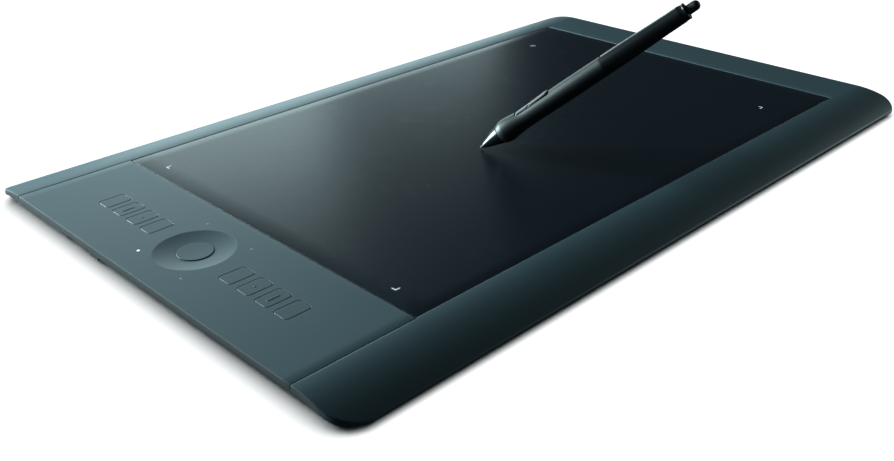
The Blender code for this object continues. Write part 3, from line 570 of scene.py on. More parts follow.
# ---- the frame's places ------------------------------------------------------------------------
@dataclass(frozen=True)
class Layout:
    """The tablet's outer shape, which the cover, the panel and the tray share.

    Attributes:
        half_x: Half its length.
        half_y: Half its width.
        top: The height of its flat top.
        under: The height of the cover's flat underside.
        flat_y: Where the long sides start to fall away.
        corner: Its corners' radius.
        crown: The radius of the fall.
        edge: The rounding of the short sides' upper edge.
        rim: The rounding of the long sides' outer edge.
        band: The breadth of the strip that is carried round the outline.
        seam: The rounding of the edges along a seam.
    """

    half_x: float
    half_y: float
    top: float
    under: float
    flat_y: float
    corner: float = 16 * MM
    crown: float = 76 * MM
    edge: float = 0.6 * MM
    rim: float = 1.6 * MM
    band: float = 3 * MM
    seam: float = 0.12 * MM

    @classmethod
    def from_frame(cls) -> "Layout":
        """Reads the sizes from the cover's and the panel's boxes.

        Returns:
            The outer shape.
        """
        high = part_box("top_cover")[1]
        panel_low, panel_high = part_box("key_panel")
        parting_gap = 0.4 * MM
        return cls(high.x, high.y, panel_high.z, panel_low.z, panel_high.y + parting_gap)

    def fall(self, y: Array) -> Array:
        """How far out on the fall a place is, from 0 on the flat."""
        return np.maximum(np.abs(y) - self.flat_y, 0)

    def height(self, x: Array, y: Array) -> Array:
        """The top's height: level, then an arc of the crown's radius whose middle lies under its start."""
        return self.top - self.crown + np.sqrt(self.crown**2 - self.fall(y) ** 2) + 0 * x

    def lip(self) -> float:
        """The height of the long sides' lowest edge, where the rim's rounding turns upright."""
        reach = self.half_y - self.flat_y - self.rim
        return self.top - self.crown + math.sqrt((self.crown - self.rim) ** 2 - reach**2)

    def underside(self, x: Array, y: Array) -> Array:
        """The cover's underside: the same arc a wall's thickness further in, but no lower than the lip.

        Args:
            x: The places' X.
            y: The places' Y.

        Returns:
            The height at each place.
        """
        inner = self.crown - (self.top - self.under)
        arc = self.top - self.crown + np.sqrt(inner**2 - self.fall(y) ** 2)
        return np.maximum(arc, self.lip()) + 0 * x

    def rim_strip(self, base: Array, normals: Array, drop: Array, end_y: Array) -> Array:
        """The strip round the edge: a last stretch of top, a rounding tangent to it, a wall and a lower lip.

        At a place where the top falls outwards at an angle, the rounding starts at that angle and turns
        on to the upright. Near a seam the upper part is lowered and drawn in to round the seam's edge.

        Args:
            base: The strip's inner border, n by 2.
            normals: The outward normals there, n by 2.
            drop: How far each station's upper part is drawn in, n.
            end_y: The Y that each station's lower part has, n.

        Returns:
            Rows by n by 3, from the inner border over the edge to the inner border underneath.
        """
        radius = self.rim * normals[:, 1] ** 2 + self.edge * normals[:, 0] ** 2
        outer = base + self.band * normals
        tangent = radius
        for _ in range(3):
            fall = self.fall(outer[:, 1] - tangent * normals[:, 1])
            slope = np.arctan(np.abs(normals[:, 1]) * fall / np.sqrt(self.crown**2 - fall**2))
            tangent = radius * (1 - np.sin(slope))
        start = outer - tangent[:, None] * normals
        middle = self.height(start[:, 0], start[:, 1]) - radius * np.cos(slope)
        rows = []
        for share in (0, 0.5, 0.8, 0.95):
            inset = self.band + (tangent - self.band) * share
            plan = outer - inset[:, None] * normals
            rows.append((plan, self.height(plan[:, 0], plan[:, 1]) - drop))
        for share in np.linspace(0, 1, 8):
            angle = slope + (QUARTER - slope) * share
            inset = radius - (radius - drop) * np.sin(angle)
            rows.append((outer - inset[:, None] * normals, middle + (radius - drop) * np.cos(angle)))
        lower = np.stack([outer[:, 0], end_y], axis=-1)
        foot = self.underside(lower[:, 0], lower[:, 1])
        soft = np.minimum(0.3 * MM, 0.6 * (middle - foot))
        rows.append((lower, foot + np.maximum(soft, 0)))
        for share in (0.3, 1.0):
            angle = QUARTER * share
            inset = soft * (1 - math.cos(angle))
            rows.append((lower - inset[:, None] * normals, foot + soft * (1 - math.sin(angle))))
        for inset in (self.band / 2, self.band):
            plan = lower - inset * normals
            rows.append((plan, self.underside(plan[:, 0], plan[:, 1])))
        return np.stack([np.concatenate([plan, z[:, None]], axis=-1) for plan, z in rows])


# ---- shells ------------------------------------------------------------------------------------
@dataclass(frozen=True)
class Cover:
    """The satin cover: two long bands that fall away, a right-hand band, and the pocket for the sheet.

    Attributes:
        layout: The tablet's outer shape.
        pocket: The depth of the sheet's pocket.
        gap: The gap round the panel and the sheet.
        rows: The steps across a band.
        arc_steps: The steps round a corner.
    """

    layout: Layout
    pocket: float = 1.2 * MM
    gap: float = 0.3 * MM
    rows: int = 26
    arc_steps: int = 14

    def band_plan(self, side: int, start: float, stop: float) -> tuple[Array, Array, Array]:
        """The plan of a long band.

        Its columns run along X, closer together round the two corners. Its rows run from the border
        of the rim's strip, which follows the corners' arcs, to the edge of the flat.

        Args:
            side: 1 for the far band and -1 for the near one.
            start: The X of the panel's seam.
            stop: The X where the pocket's rounded edge ends.

        Returns:
            The columns' X, and the X and Y of the grid.
        """
        shape = self.layout
        turn = np.linspace(0, QUARTER, self.arc_steps + 1)
        radius = shape.corner - shape.band
        centre_x, centre_y = shape.half_x - shape.corner, shape.half_y - shape.corner
        straight = np.concatenate([
            np.linspace(-centre_x, start, 8)[1:-1],
            np.linspace(start, stop, 30),
            np.linspace(stop, centre_x, 4)[1:-1],
        ])
        left_arc, right_arc = -centre_x - radius * np.cos(turn), centre_x + radius * np.sin(turn)
        columns = np.concatenate([left_arc, straight, right_arc])
        level = np.full(len(straight), centre_y + radius)
        outer = np.concatenate([centre_y + radius * np.sin(turn), level, centre_y + radius * np.cos(turn)])
        share = np.linspace(0, 1, self.rows + 1)[:, None]
        inner = shape.flat_y + shape.seam
        y = side * (outer + (inner - outer) * share)
        return columns, np.broadcast_to(columns, y.shape), y

    def rim(self, columns: Array, plans: dict[int, Array], ys: Array) -> tuple[Array, Array, Array, Array]:
        """The stations of the rim's strip, from the near end of the panel's gap round to the far one.

        Args:
            columns: The bands' X.
            plans: The Y of the near (-1) and the far (1) band's grid.
            ys: The Y stations of the right-hand side between the bands.

        Returns:
            The strip's inner border, its normals, its drop and its lower part's Y.
        """
        shape = self.layout
        edge = rounded_edge(0, shape.seam)[1:]
        left, right = columns[0], columns[-1]
        near, far = plans[-1], plans[1]
        seam_y = shape.flat_y - edge[:, 0]
        parts = [
            np.stack([np.full(len(seam_y), left), -seam_y[::-1]], axis=-1),
            np.stack([np.full(self.rows, left), near[:0:-1, 0]], axis=-1),
            np.stack([columns, near[0]], axis=-1),
            np.stack([np.full(self.rows, right), near[1:, -1]], axis=-1),
            np.stack([np.full(len(ys), right), ys], axis=-1),
            np.stack([np.full(self.rows, right), far[:0:-1, -1]], axis=-1),
            np.stack([columns, far[0]], axis=-1)[::-1],
            np.stack([np.full(self.rows, left), far[1:, 0]], axis=-1),
            np.stack([np.full(len(seam_y), left), seam_y], axis=-1),
        ]
        base = np.concatenate(parts)
        centre = np.array([shape.half_x - shape.corner, shape.half_y - shape.corner])
        away = np.sign(base) * np.maximum(np.abs(base) - centre, 0)
        normals = away / np.linalg.norm(away, axis=1, keepdims=True)
        drop = np.zeros(len(base))
        drop[: len(edge)] = -edge[::-1, 1]
        drop[-len(edge) :] = -edge[:, 1]
        end_y = (base + shape.band * normals)[:, 1]
        end_y[: len(edge)] = -shape.flat_y
        end_y[-len(edge) :] = shape.flat_y
        return base, normals, drop, end_y

    def shell(self) -> bpy.types.Object:
        """Builds the cover as one closed mesh.

        Returns:
            The cover.
        """
        shape = self.layout
        seam = shape.seam
        seam_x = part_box("key_panel")[1].x + self.gap
        sheet_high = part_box("drawing_sheet")[1]
        window_x, window_y = sheet_high.x + self.gap, sheet_high.y + self.gap
        columns, x, y = self.band_plan(1, seam_x, window_x + seam)
        plans = {-1: -y, 1: y}
        inner = np.linspace(-window_y, window_y, 26)[1:-1]
        strip = np.array([shape.flat_y + seam, shape.flat_y, window_y + seam])
        ys = np.concatenate([-strip, inner, strip[::-1]])
        work = Patchwork()
        work.grid(shape.rim_strip(*self.rim(columns, plans, ys[1:-1])))
        beyond = columns[columns >= seam_x - WELD]
        before = columns[columns <= seam_x + WELD]
        right = columns[columns >= window_x + seam - WELD]
        edge = rounded_edge(shape.top, seam)
        for side in (-1, 1):
            work.grid(np.stack([x, plans[side], shape.height(x, y)], axis=-1))
            work.grid(np.stack([x, plans[side], shape.underside(x, y)], axis=-1))
            work.flat(columns, side * strip[:2], shape.underside)
            work.flat(beyond, side * strip, shape.height)
            wall = np.concatenate([edge, [[0, shape.under]]])
            work.grid(np.stack([row_along_x(before, side * (shape.flat_y - out), z) for out, z in wall]))
        work.flat(beyond, ys[1:-1], shape.underside)
        work.flat(right, ys[2:-2], shape.height)
        along = np.append(beyond[beyond < window_x - WELD], window_x)
        across = np.concatenate([[-window_y], inner, [window_y]])
        border = np.concatenate([
            np.stack([along, np.full_like(along, -window_y)], axis=-1),
            np.stack([np.full_like(inner, window_x), inner], axis=-1),
            np.stack([along, np.full_like(along, window_y)], axis=-1)[::-1],
        ])
        normals = np.stack([border[:, 0] > window_x - WELD, np.sign(border[:, 1])], axis=-1).astype(float)
        normals[len(along) : len(along) + len(inner), 1] = 0
        floor = shape.top - self.pocket
        profile = np.concatenate([edge * [-1, 1], [[0, floor]]])
        work.grid(carry(border, normals, profile))
        work.flat(along, across, level(floor))
        return work.build("cover_shell")

    def build(self, palette: Palette) -> None:
        """Makes the cover."""
        dress(self.shell(), palette.shell.material("cover_satin"), Slot.SHELL, nodes=("top_cover",))


def span(low: float, high: float, steps: int) -> Array:
    """Evenly spaced stations after low, up to and with high."""
    return np.linspace(low, high, steps + 1)[1:]


@dataclass(frozen=True)
class KeyPanel:
    """The panel at the left, with windows for the keys, the touch ring and four small lights.

    Attributes:
        layout: The tablet's outer shape.
        key: Half a key's length and breadth, and its corners' radius.
        ring: The radius of the ring's window.
        light: The radius of a light's hole.
        light_offset: How far a light is from the ring's middle along X and along Y.
        light_cell: Half the square of surface that belongs to a light.
        gap: The gap round a key.
        pitch: The distance from one key to the next.
        edge: The rounding of a window's edge.
    """

    layout: Layout
    key: tuple[float, float, float] = (7.4 * MM, 5.025 * MM, 1.9 * MM)
    ring: float = 20.75 * MM
    light: float = 0.8 * MM
    light_offset: float = 20 * MM
    light_cell: float = 2.4 * MM
    gap: float = 0.3 * MM
    pitch: float = 14.68 * MM
    edge: float = 0.08 * MM

    def key_centres(self) -> list[Vector]:
        """The middle of each key's box, in the keys' order."""
        boxes = [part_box(f"express_key_{number}") for number in range(1, 9)]
        return [(low + high) / 2 for low, high in boxes]

    def ring_x(self) -> float:
        """The X of the ring's middle."""
        low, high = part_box("ring_button")
        return (low.x + high.x) / 2

    def middle_chain(self) -> Array:
        """The stations from one side of the ring's square to the other, with those of the lights' cells.

        Returns:
            The stations, from the ring's middle.
        """
        inner, outer = self.light_offset - self.light_cell, self.light_offset + self.light_cell
        before, after = span(-outer, -inner, 4), span(inner, outer, 4)
        return np.concatenate([[-outer], before, span(-inner, inner, 24), after])

    def holed_cell(self, work: Patchwork, border: Array, hole: tuple[Array, Array]) -> None:
        """Adds the top, the rounded edge, the wall and the underside round one window.

        Args:
            work: The patchwork.
            border: The cell's border.
            hole: The window's points and normals, one for each point of the border.
        """
        top, under = self.layout.top, self.layout.under
        points, normals = hole
        profile = rounded_edge(top, self.edge) * [-1, 1]
        support = [[self.edge + 0.12 * MM, top]]
        rings = carry(points, normals, np.concatenate([support, profile, [[0, under]]]))
        outer = np.concatenate([border, np.full((len(border), 1), top)], axis=-1)
        below = np.concatenate([border, np.full((len(border), 1), under)], axis=-1)
        work.grid(np.stack([outer, *rings, below]), closed=True)

    def shell(self) -> bpy.types.Object:
        """Builds the panel as one closed mesh from cells on common stations.

        Returns:
            The panel.
        """
        shape = self.layout
        seam = shape.seam
        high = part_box("key_panel")[1]
        ring_x = self.ring_x()
        middle = self.middle_chain()
        half = middle[-1]
        first = abs(self.key_centres()[0].y) - 3 * self.pitch - self.pitch / 2
        last = first + 4 * self.pitch
        end = high.y - seam
        far = np.concatenate([span(half, first, 2), span(first, last, 4 * 16), span(last, end, 6)])
        ys = np.concatenate([-far[::-1], middle, far])
        left = np.linspace(-shape.half_x + shape.band, ring_x - half, 4)
        right = np.concatenate([[ring_x + half], span(ring_x + half, high.x - seam, 4)])
        work = Patchwork()
        below_ys = np.concatenate([[-high.y], ys, [high.y]])
        below_right = np.append(right, high.x)
        work.flat(left, ys, level(shape.top))
        work.flat(right, ys, level(shape.top))
        work.flat(left, below_ys, level(shape.under))
        work.flat(below_right, below_ys, level(shape.under))
        columns = ring_x + middle
        for side in (-1, 1):
            for low_y, high_y in ((half, first), (last, end)):
                rows = ys[(side * ys >= low_y - WELD) & (side * ys <= high_y + WELD)]
                work.flat(columns, rows, level(shape.top))
                work.flat(columns, rows, level(shape.under))
            work.flat(columns, side * np.array([end, high.y]), level(shape.under))
        half_x, half_y, corner = (size + self.gap for size in self.key)
        for centre in self.key_centres():
            rows = ys[np.abs(ys - centre.y) <= self.pitch / 2 + WELD]
            hole, normals = outline(half_x, half_y, corner, len(middle) - 1, len(rows) - 1)
            self.holed_cell(work, cell_border(columns, rows), (hole + [ring_x, centre.y], normals))
        notch = self.light_offset - self.light_cell
        ring_border = self.notched_square(middle, notch)
        angles = np.arctan2(ring_border[:, 1], ring_border[:, 0])
        hole, normals = circle(self.ring, angles)
        self.holed_cell(work, ring_border + [ring_x, 0], (hole + [ring_x, 0], normals))
        for turn_x in (-1, 1):
            for turn_y in (-1, 1):
                place = np.array([ring_x + turn_x * self.light_offset, turn_y * self.light_offset])
                chain = np.linspace(-self.light_cell, self.light_cell, 5)
                border = cell_border(chain, chain)
                hole, normals = circle(self.light, np.arctan2(border[:, 1], border[:, 0]))
                self.holed_cell(work, border + place, (hole + place, normals))
        along = np.concatenate([left, ring_x + middle[1:-1], below_right])
        near = np.stack([along, np.full_like(along, -high.y)], axis=-1)
        side_edge = np.stack([np.full_like(ys, high.x), ys], axis=-1)
        points = np.concatenate([near, side_edge, near[::-1] * [1, -1]])
        normals = np.concatenate([
            np.tile([0.0, -1.0], (len(near), 1)),
            np.tile([1.0, 0.0], (len(ys), 1)),
            np.tile([0.0, 1.0], (len(near), 1)),
        ])
        normals[len(near) - 1] = (1, -1)
        normals[len(near) + len(ys)] = (1, 1)
        wall = np.concatenate([rounded_edge(shape.top, seam), [[0, shape.under]]])
        work.grid(carry(points, normals, wall))
        edge = rounded_edge(0, seam)[1:]
        seam_y = high.y + edge[:, 0]
        rim_y = np.concatenate([-seam_y[::-1], ys, seam_y])
        base = np.stack([np.full_like(rim_y, left[0]), rim_y], axis=-1)
        drop = np.concatenate([-edge[::-1, 1], np.zeros(len(ys)), -edge[:, 1]])
        end_y = np.where(drop > 0, np.sign(rim_y) * high.y, rim_y)
        work.grid(shape.rim_strip(base, np.tile([-1.0, 0.0], (len(base), 1)), drop, end_y))
        return work.build("key_panel_shell")

    @staticmethod
    def notched_square(middle: Array, notch: float) -> Array:
        """The ring's cell: a square whose corners step in round the lights, counterclockwise.

        Args:
            middle: The stations from one side of the square to the other.
            notch: Where the corners step in, from the middle.

        Returns:
            The border's points, n by 2.
        """
        half = middle[-1]
        run = middle[np.abs(middle) <= notch + WELD]
        step = middle[middle >= notch - WELD]
        side = np.stack([np.full(len(run) - 1, half), run[:-1]], axis=-1)
        inwards = np.stack([step[:0:-1], np.full(len(step) - 1, notch)], axis=-1)
        outwards = np.stack([np.full(len(step) - 1, notch), step[:-1]], axis=-1)
        quarter = np.concatenate([side, inwards, outwards])
        return np.concatenate([quarter @ turn for turn in QUARTER_TURNS])

    def build(self, palette: Palette) -> None:
        """Makes the panel."""
        dress(self.shell(), palette.shell.material("panel_satin"), Slot.SHELL, nodes=("key_panel",))


class Relief(Enum):
    """What is raised on a key, to be found by touch."""

    BAR = "bar"
    DOT = "dot"


RAISED = {2: Relief.BAR, 3: Relief.DOT, 6: Relief.DOT, 7: Relief.BAR}


@dataclass(frozen=True)
class Controls:
    """The keys, the touch ring with its button, and the small lights.

    Attributes:
        panel: The panel that they sit in.
        cap_low: The height of a cap's underside.
        cap_edge: The rounding of a cap's upper edge.
        dish: The depth of the ring's dish.
        button: The radius of the ring's button.
        button_drop: How far the button's top is under the panel's.
        bar: Half the length and breadth of the raised bar on a key.
        dot: The radius of the raised dot on a key.
        relief: The height of a bar or a dot.
        lit: The number of the small light that is on.
    """

    panel: KeyPanel
    cap_low: float = 9.2 * MM
    cap_edge: float = 0.3 * MM
    dish: float = 1.5 * MM
    button: float = 9.25 * MM
    button_drop: float = 0.85 * MM
    bar: tuple[float, float] = (3.6 * MM, 0.5 * MM)
    dot: float = 0.65 * MM
    relief: float = 0.16 * MM
    lit: int = 3

    def key_cap(self, number: int, centre: Vector) -> bpy.types.Object:
        """One cap, with its raised bar or dot where it has one.

        Args:
            number: The key's number.
            centre: The middle of the key's box.

        Returns:
            The cap.
        """
        half_x, half_y, corner = self.panel.key
        top = self.panel.layout.top
        work = Patchwork()
        shape = outline(half_x, half_y, corner, 28, 20)
        place = np.array([centre.x, centre.y, 0])
        work.grid(domed_plate(shape, level(top), self.cap_low, self.cap_edge) + place, closed=True)
        mark = RAISED.get(number)
        if mark:
            long, short = self.bar if mark is Relief.BAR else (self.dot, self.dot)
            raised = outline(long, short, short * 0.98, 12, 6)
            plate = domed_plate(raised, level(top + self.relief), top - self.relief, self.relief)
            work.grid(plate + place, closed=True)
        return work.build(f"key_cap_{number}", sharp=50)

    def dish_height(self, radius: Array) -> Array:
        """The dish's height: a paraboloid that is level with the panel at the window's edge."""
        return self.panel.layout.top - self.dish * (1 - (radius / self.panel.ring) ** 2)

    def touch_ring(self) -> bpy.types.Object:
        """The dished ring, closed underneath.

        Returns:
            The ring.
        """
        soft, crisp = 0.15 * MM, 0.02 * MM
        inner, outer = self.button + soft, self.panel.ring - crisp
        radii = np.linspace(inner + soft, outer - crisp, 24)
        top = np.stack([radii, self.dish_height(radii)], axis=-1)
        lip_in = rounded_edge(self.dish_height(inner), soft)[::-1] * [-1, 1] + [inner, 0]
        lip_out = rounded_edge(self.dish_height(outer), crisp) + [outer, 0]
        under = self.panel.layout.under
        profile = np.concatenate([lip_in[:-1], top, lip_out[1:], [[outer, under], [inner, under]]])
        rings = turned_rings(profile, 128) + np.array([self.panel.ring_x(), 0, 0])
        work = Patchwork()
        work.grid(np.concatenate([rings, rings[:1]]), closed=True)
        return work.build("touch_ring_dish")

    def ring_cap(self) -> bpy.types.Object:
        """The round button in the ring's middle, very slightly dished.

        Returns:
            The button.
        """
        top = self.panel.layout.top - self.button_drop
        dish, edge = 0.12 * MM, 0.2 * MM

        def height(x: Array, y: Array) -> Array:
            """A shallow paraboloid that is level with the top at the rim."""
            return top - dish * (1 - (x**2 + y**2) / self.button**2)

        plate = domed_plate(circle(self.button, full_turn(96)), height, self.cap_low, edge)
        work = Patchwork()
        work.grid(plate + np.array([self.panel.ring_x(), 0, 0]), closed=True)
        return work.build("ring_button_cap")

    def light(self, number: int) -> bpy.types.Object:
        """One small lens, which stands a hair proud of the panel.

        Args:
            number: The light's number.

        Returns:
            The lens.
        """
        low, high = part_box(f"status_light_guide_{number}")
        centre = (low + high) / 2
        proud, edge, gap = 0.05 * MM, 0.1 * MM, 0.12 * MM
        radius = self.panel.light - gap

        def height(x: Array, y: Array) -> Array:
            """A low paraboloid over the node's top."""
            return high.z + proud * (1 - (x**2 + y**2) / radius**2)

        work = Patchwork()
        plate = domed_plate(circle(radius, full_turn(24)), height, low.z, edge)
        work.grid(plate + np.array([centre.x, centre.y, 0]), closed=True)
        return work.build(f"status_light_{number}")

    def build(self, palette: Palette) -> None:
        """Makes the caps, the ring, its button and the lights.

        Args:
            palette: The finishes.
        """
        key = palette.key.material("key_satin")
        for number, centre in enumerate(self.panel.key_centres(), 1):
            node = f"express_key_{number}"
            dress(self.key_cap(number, centre), key, Slot.KEY, node, (node,))
        dress(self.touch_ring(), key, Slot.KEY, nodes=("touch_ring",))
        dress(self.ring_cap(), key, Slot.KEY, "ring_button", ("ring_button",))
        lit, unlit = palette.lit.material("light_on"), palette.guide.material("light_off")
        for number in range(1, 5):
            node = f"status_light_guide_{number}"
            dress(self.light(number), lit if number == self.lit else unlit, Slot.GUIDE, nodes=(node,))


@dataclass(frozen=True)
class DrawingSurface:
    """The textured film and the four corner marks of its active area.

    Attributes:
        edge: The rounding of the film's edge.
        corner: The radius of the film's corners.
        arm: The length of a corner mark's arms.
        stroke: The breadth of a corner mark.
        proud: How far a mark stands above the film.
    """

    edge: float = 0.12 * MM
    corner: float = 0.8 * MM
    arm: float = 3.0 * MM
    stroke: float = 0.6 * MM
    proud: float = 0.02 * MM

    def film(self) -> bpy.types.Object:
        """The film: a plate with softly rounded edges.

        Returns:
            The film.
        """
        low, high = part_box("drawing_sheet")
        centre, half = (low + high) / 2, (high - low) / 2
        shape = outline(half.x, half.y, self.corner, 40, 28)
        plate = domed_plate(shape, level(high.z), low.z, self.edge)
        work = Patchwork()
        work.grid(plate + np.array([centre.x, centre.y, 0]), closed=True)
        return work.build("drawing_film_sheet", sharp=50)

    def mark(self, number: int) -> bpy.types.Object:
        """One L of light, its corner at the active area's corner and its arms pointing in.

        Args:
            number: The number of the guide that it shows.

        Returns:
            The mark.
        """
        low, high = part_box(f"marker_light_guide_{number}")
        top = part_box("drawing_sheet")[1].z
        way = -np.sign([low.x + high.x - sum(v.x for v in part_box("sensor_board")), low.y + high.y])
        corner = np.array([low.x if way[0] > 0 else high.x, low.y if way[1] > 0 else high.y])
        a, b = self.arm, self.stroke
        plan = np.array([(0, 0), (a, 0), (a, b), (b, b), (b, a), (0, a)]) * way + corner
        rings = [np.concatenate([plan, np.full((6, 1), top + z)], axis=-1) for z in (-self.proud, self.proud)]
        work = Patchwork()
        work.grid(np.stack(rings), closed=True)
        return work.build(f"corner_mark_{number}")

    def build(self, palette: Palette) -> None:
        """Makes the film and its marks.

        Args:
            palette: The finishes.
        """
        dress(self.film(), palette.film.material("film_tooth"), Slot.FILM, nodes=("drawing_sheet",))
        mark = palette.mark.material("mark_white")
        for number in range(1, 5):
            dress(self.mark(number), mark, Slot.GUIDE)


# ---- pen ---------------------------------------------------------------------------------------
@dataclass(frozen=True)
class PenAxes:
    """The pen's own frame.

    Attributes:
        tip: The nib's tip.
        side: The way to the side switch.
        across: The way across, along the switch's hinge.
        axis: The way up the pen.
    """

    tip: Array
    side: Array
    across: Array
    axis: Array

    @classmethod
    def from_frame(cls) -> "PenAxes":
        """Reads the axis and the switch's hinge from the joints, and the tip from the nib's mesh.

        Returns:
            The pen's frame.
        """
        joints = {joint["name"]: joint for joint in frame["joints"]}
        axis = np.array(joints["pen_nib_press"]["axis"], float)
        hinge = np.array(joints["pen_side_switch_rock"]["axis"], float)
        axis /= np.linalg.norm(axis)
        side = np.cross(hinge, axis)
        side /= np.linalg.norm(side)
        vertices = frame["nodes"]["pen_nib"].data.vertices
        points = np.empty(3 * len(vertices), np.float32)
        vertices.foreach_get("co", points)
        points = points.reshape(-1, 3).astype(float)
        along = points @ axis
        # The nib's flat end is square to its axis, so the mean of that end's points lies on the axis.
        far_end = points[along > along.max() - WELD].mean(axis=0)
        tip = far_end + axis * (along.min() - far_end @ axis)
        return cls(tip, side, np.cross(axis, side), axis)

    def place(self, local: Array) -> Array:
        """Takes points from the pen's frame (side, across, along) to the tablet's."""
        return self.tip + local @ np.stack([self.side, self.across, self.axis])


@dataclass(frozen=True)
class Pen:
    """The pen: nib, nose cone, soft grip with its rocker, barrel, end ring and eraser.

    Places are distances from the tip, along the axis.

    Attributes:
        nib: The nib's radius.
        nib_length: Where the nib ends.
        cone: Where the nose cone starts and ends.
        cone_radii: Its radii there.
        bulge: How far its side bulges.
        grip_knots: Places along the grip, each with the radius there.
        barrel: Where the barrel starts and ends.
        barrel_radii: Its radii there.
        barrel_bore: The radius of its bore.
        ring: Where the end ring starts and ends.
        ring_radius: The radius of its lip.
        eraser: Where the eraser's rod starts and its round top ends.
        eraser_radius: The eraser's radius.
        bore: The radius of the grip's bore.
        switch: Where the side switch starts, dips and ends.
        switch_half: Half the switch's breadth.
        switch_tops: How far its front and its rear stand from the axis.
        switch_floor: How far its underside is from the axis.
        pocket_floor: How far its pocket's floor is from the axis.
        gap: The gap round the switch and the eraser.
        steps: The steps of one turn.
    """

    nib: float = 0.8 * MM
    nib_length: float = 13 * MM
    cone: tuple[float, float] = (2.2 * MM, 15.7 * MM)
    cone_radii: tuple[float, float] = (1.3 * MM, 5.65 * MM)
    bulge: float = 0.25 * MM
    grip_knots: tuple[tuple[float, float], ...] = (
        (15.9 * MM, 5.65 * MM),
        (20.6 * MM, 7.1 * MM),
        (36 * MM, 5.9 * MM),
        (68 * MM, 6.05 * MM),
        (92.5 * MM, 5.9 * MM),
    )
    barrel: tuple[float, float] = (92.7 * MM, 143 * MM)
    barrel_radii: tuple[float, float] = (5.9 * MM, 5.05 * MM)
    barrel_bore: float = 3.4 * MM
    ring: tuple[float, float] = (143.2 * MM, 146.4 * MM)
    ring_radius: float = 4.95 * MM
    eraser: tuple[float, float] = (134 * MM, 154 * MM)
    eraser_radius: float = 2.85 * MM
    bore: float = 4.3 * MM
    switch: tuple[float, float, float] = (31.2 * MM, 41 * MM, 56 * MM)
    switch_half: float = 2.9 * MM
    switch_tops: tuple[float, float] = (6.15 * MM, 6.8 * MM)
    switch_floor: float = 5.3 * MM
    pocket_floor: float = 4.5 * MM
    gap: float = 0.3 * MM
    steps: int = 96

    def lathe(
        self,
        name: str,
        profile: Array,
        axes: PenAxes,
        ring: bool = False,
        sharp: float = 30,
    ) -> bpy.types.Object:
        """Turns a profile about the pen's axis.

        Args:
            name: The piece's name.
            profile: Rows of (radius, distance from the tip).
            axes: The pen's frame.
            ring: Whether the profile closes on itself instead of on the axis.
            sharp: The angle past which an edge is shaded sharp.

        Returns:
            The piece.
        """
        rows = np.concatenate([profile, profile[:1]]) if ring else profile
        work = Patchwork()
        work.grid(axes.place(turned_rings(rows, self.steps)), closed=True)
        return work.build(name, sharp)

    def dome(self, radius: float, tip: float, way: int, steps: int = 10) -> Array:
        """A half round, from the axis to its full radius: a quarter of a circle turned about the axis.

        Args:
            radius: Its radius.
            tip: Where it meets the axis.
            way: 1 where it widens up the pen, -1 where it widens down the pen.
            steps: The steps of its arc.

        Returns:
            Rows of (radius, distance from the tip).
        """
        angle = np.linspace(0, QUARTER, steps + 1)
        return np.stack([radius * np.sin(angle), tip + way * radius * (1 - np.cos(angle))], axis=-1)

    def nib_piece(self, axes: PenAxes) -> bpy.types.Object:
        """The nib: a slim rod with a round tip."""
        tail = [[self.nib, self.nib_length], [0, self.nib_length]]
        return self.lathe("nib", np.concatenate([self.dome(self.nib, 0, 1), tail]), axes)

    def cone_piece(self, axes: PenAxes) -> bpy.types.Object:
        """The nose cone: a straight taper plus half a sine wave's bulge, with a rounded mouth.

        Args:
            axes: The pen's frame.

        Returns:
            The nose cone.
        """
        share = np.linspace(0.04, 1, 24)
        start, end = self.cone
        low, high = self.cone_radii
        radius = low + (high - low) * share + self.bulge * np.sin(math.pi * share)
        outer = np.stack([radius, start + (end - start) * share], axis=-1)
        mouth = [
            [self.nib + 0.15 * MM, start + 0.1 * MM],
            [self.nib + 0.28 * MM, start],
            [low - 0.1 * MM, start + 0.05 * MM],
        ]
        back = [[4.2 * MM, end], [self.nib + 0.3 * MM, end - 2 * MM]]
        return self.lathe("nose_cone", np.concatenate([mouth, outer, back]), axes, ring=True)

    def grip_radius(self, at: Array) -> Array:
        """The grip's radius: a quarter sine flare, then cosine eases through the waist and the long swell.

        Args:
            at: Distances from the tip.

        Returns:
            The radius at each.
        """
        at = np.asarray(at, float)
        knots = np.array(self.grip_knots)
        radius = np.full(at.shape, knots[-1, 1])
        for row in range(len(knots) - 1):
            (start, first), (end, last) = knots[row], knots[row + 1]
            share = np.clip((at - start) / (end - start), 0, 1)
            ease = np.sin(share * QUARTER) if row == 0 else (1 - np.cos(math.pi * share)) / 2
            radius = np.where((at >= start) & (at <= end), first + (last - first) * ease, radius)
        return radius

    def pocket(self, along: Array, across: Array) -> Array:
        """How far a place is sunk into the switch's pocket, from 0 outside to 1 on its floor.

        It eases over a short wall along the signed distance to the pocket's rounded outline.

        Args:
            along: Distances from the tip.
            across: Distances from the pocket's middle line.

        Returns:
            The share of the full depth at each place.
        """
        middle = (self.switch[0] + self.switch[2]) / 2
        half = (self.switch[2] - self.switch[0]) / 2 + self.gap
        corner = 1.2 * MM
        wall = 0.3 * MM
        out_x = np.abs(along - middle) - (half - corner)
        out_y = np.abs(across) - (self.switch_half + self.gap - corner)
        outside = np.hypot(np.maximum(out_x, 0), np.maximum(out_y, 0))
        distance = outside + np.minimum(np.maximum(out_x, out_y), 0) - corner
        share = np.clip(-distance / wall, 0, 1)
        return share * share * (3 - 2 * share)

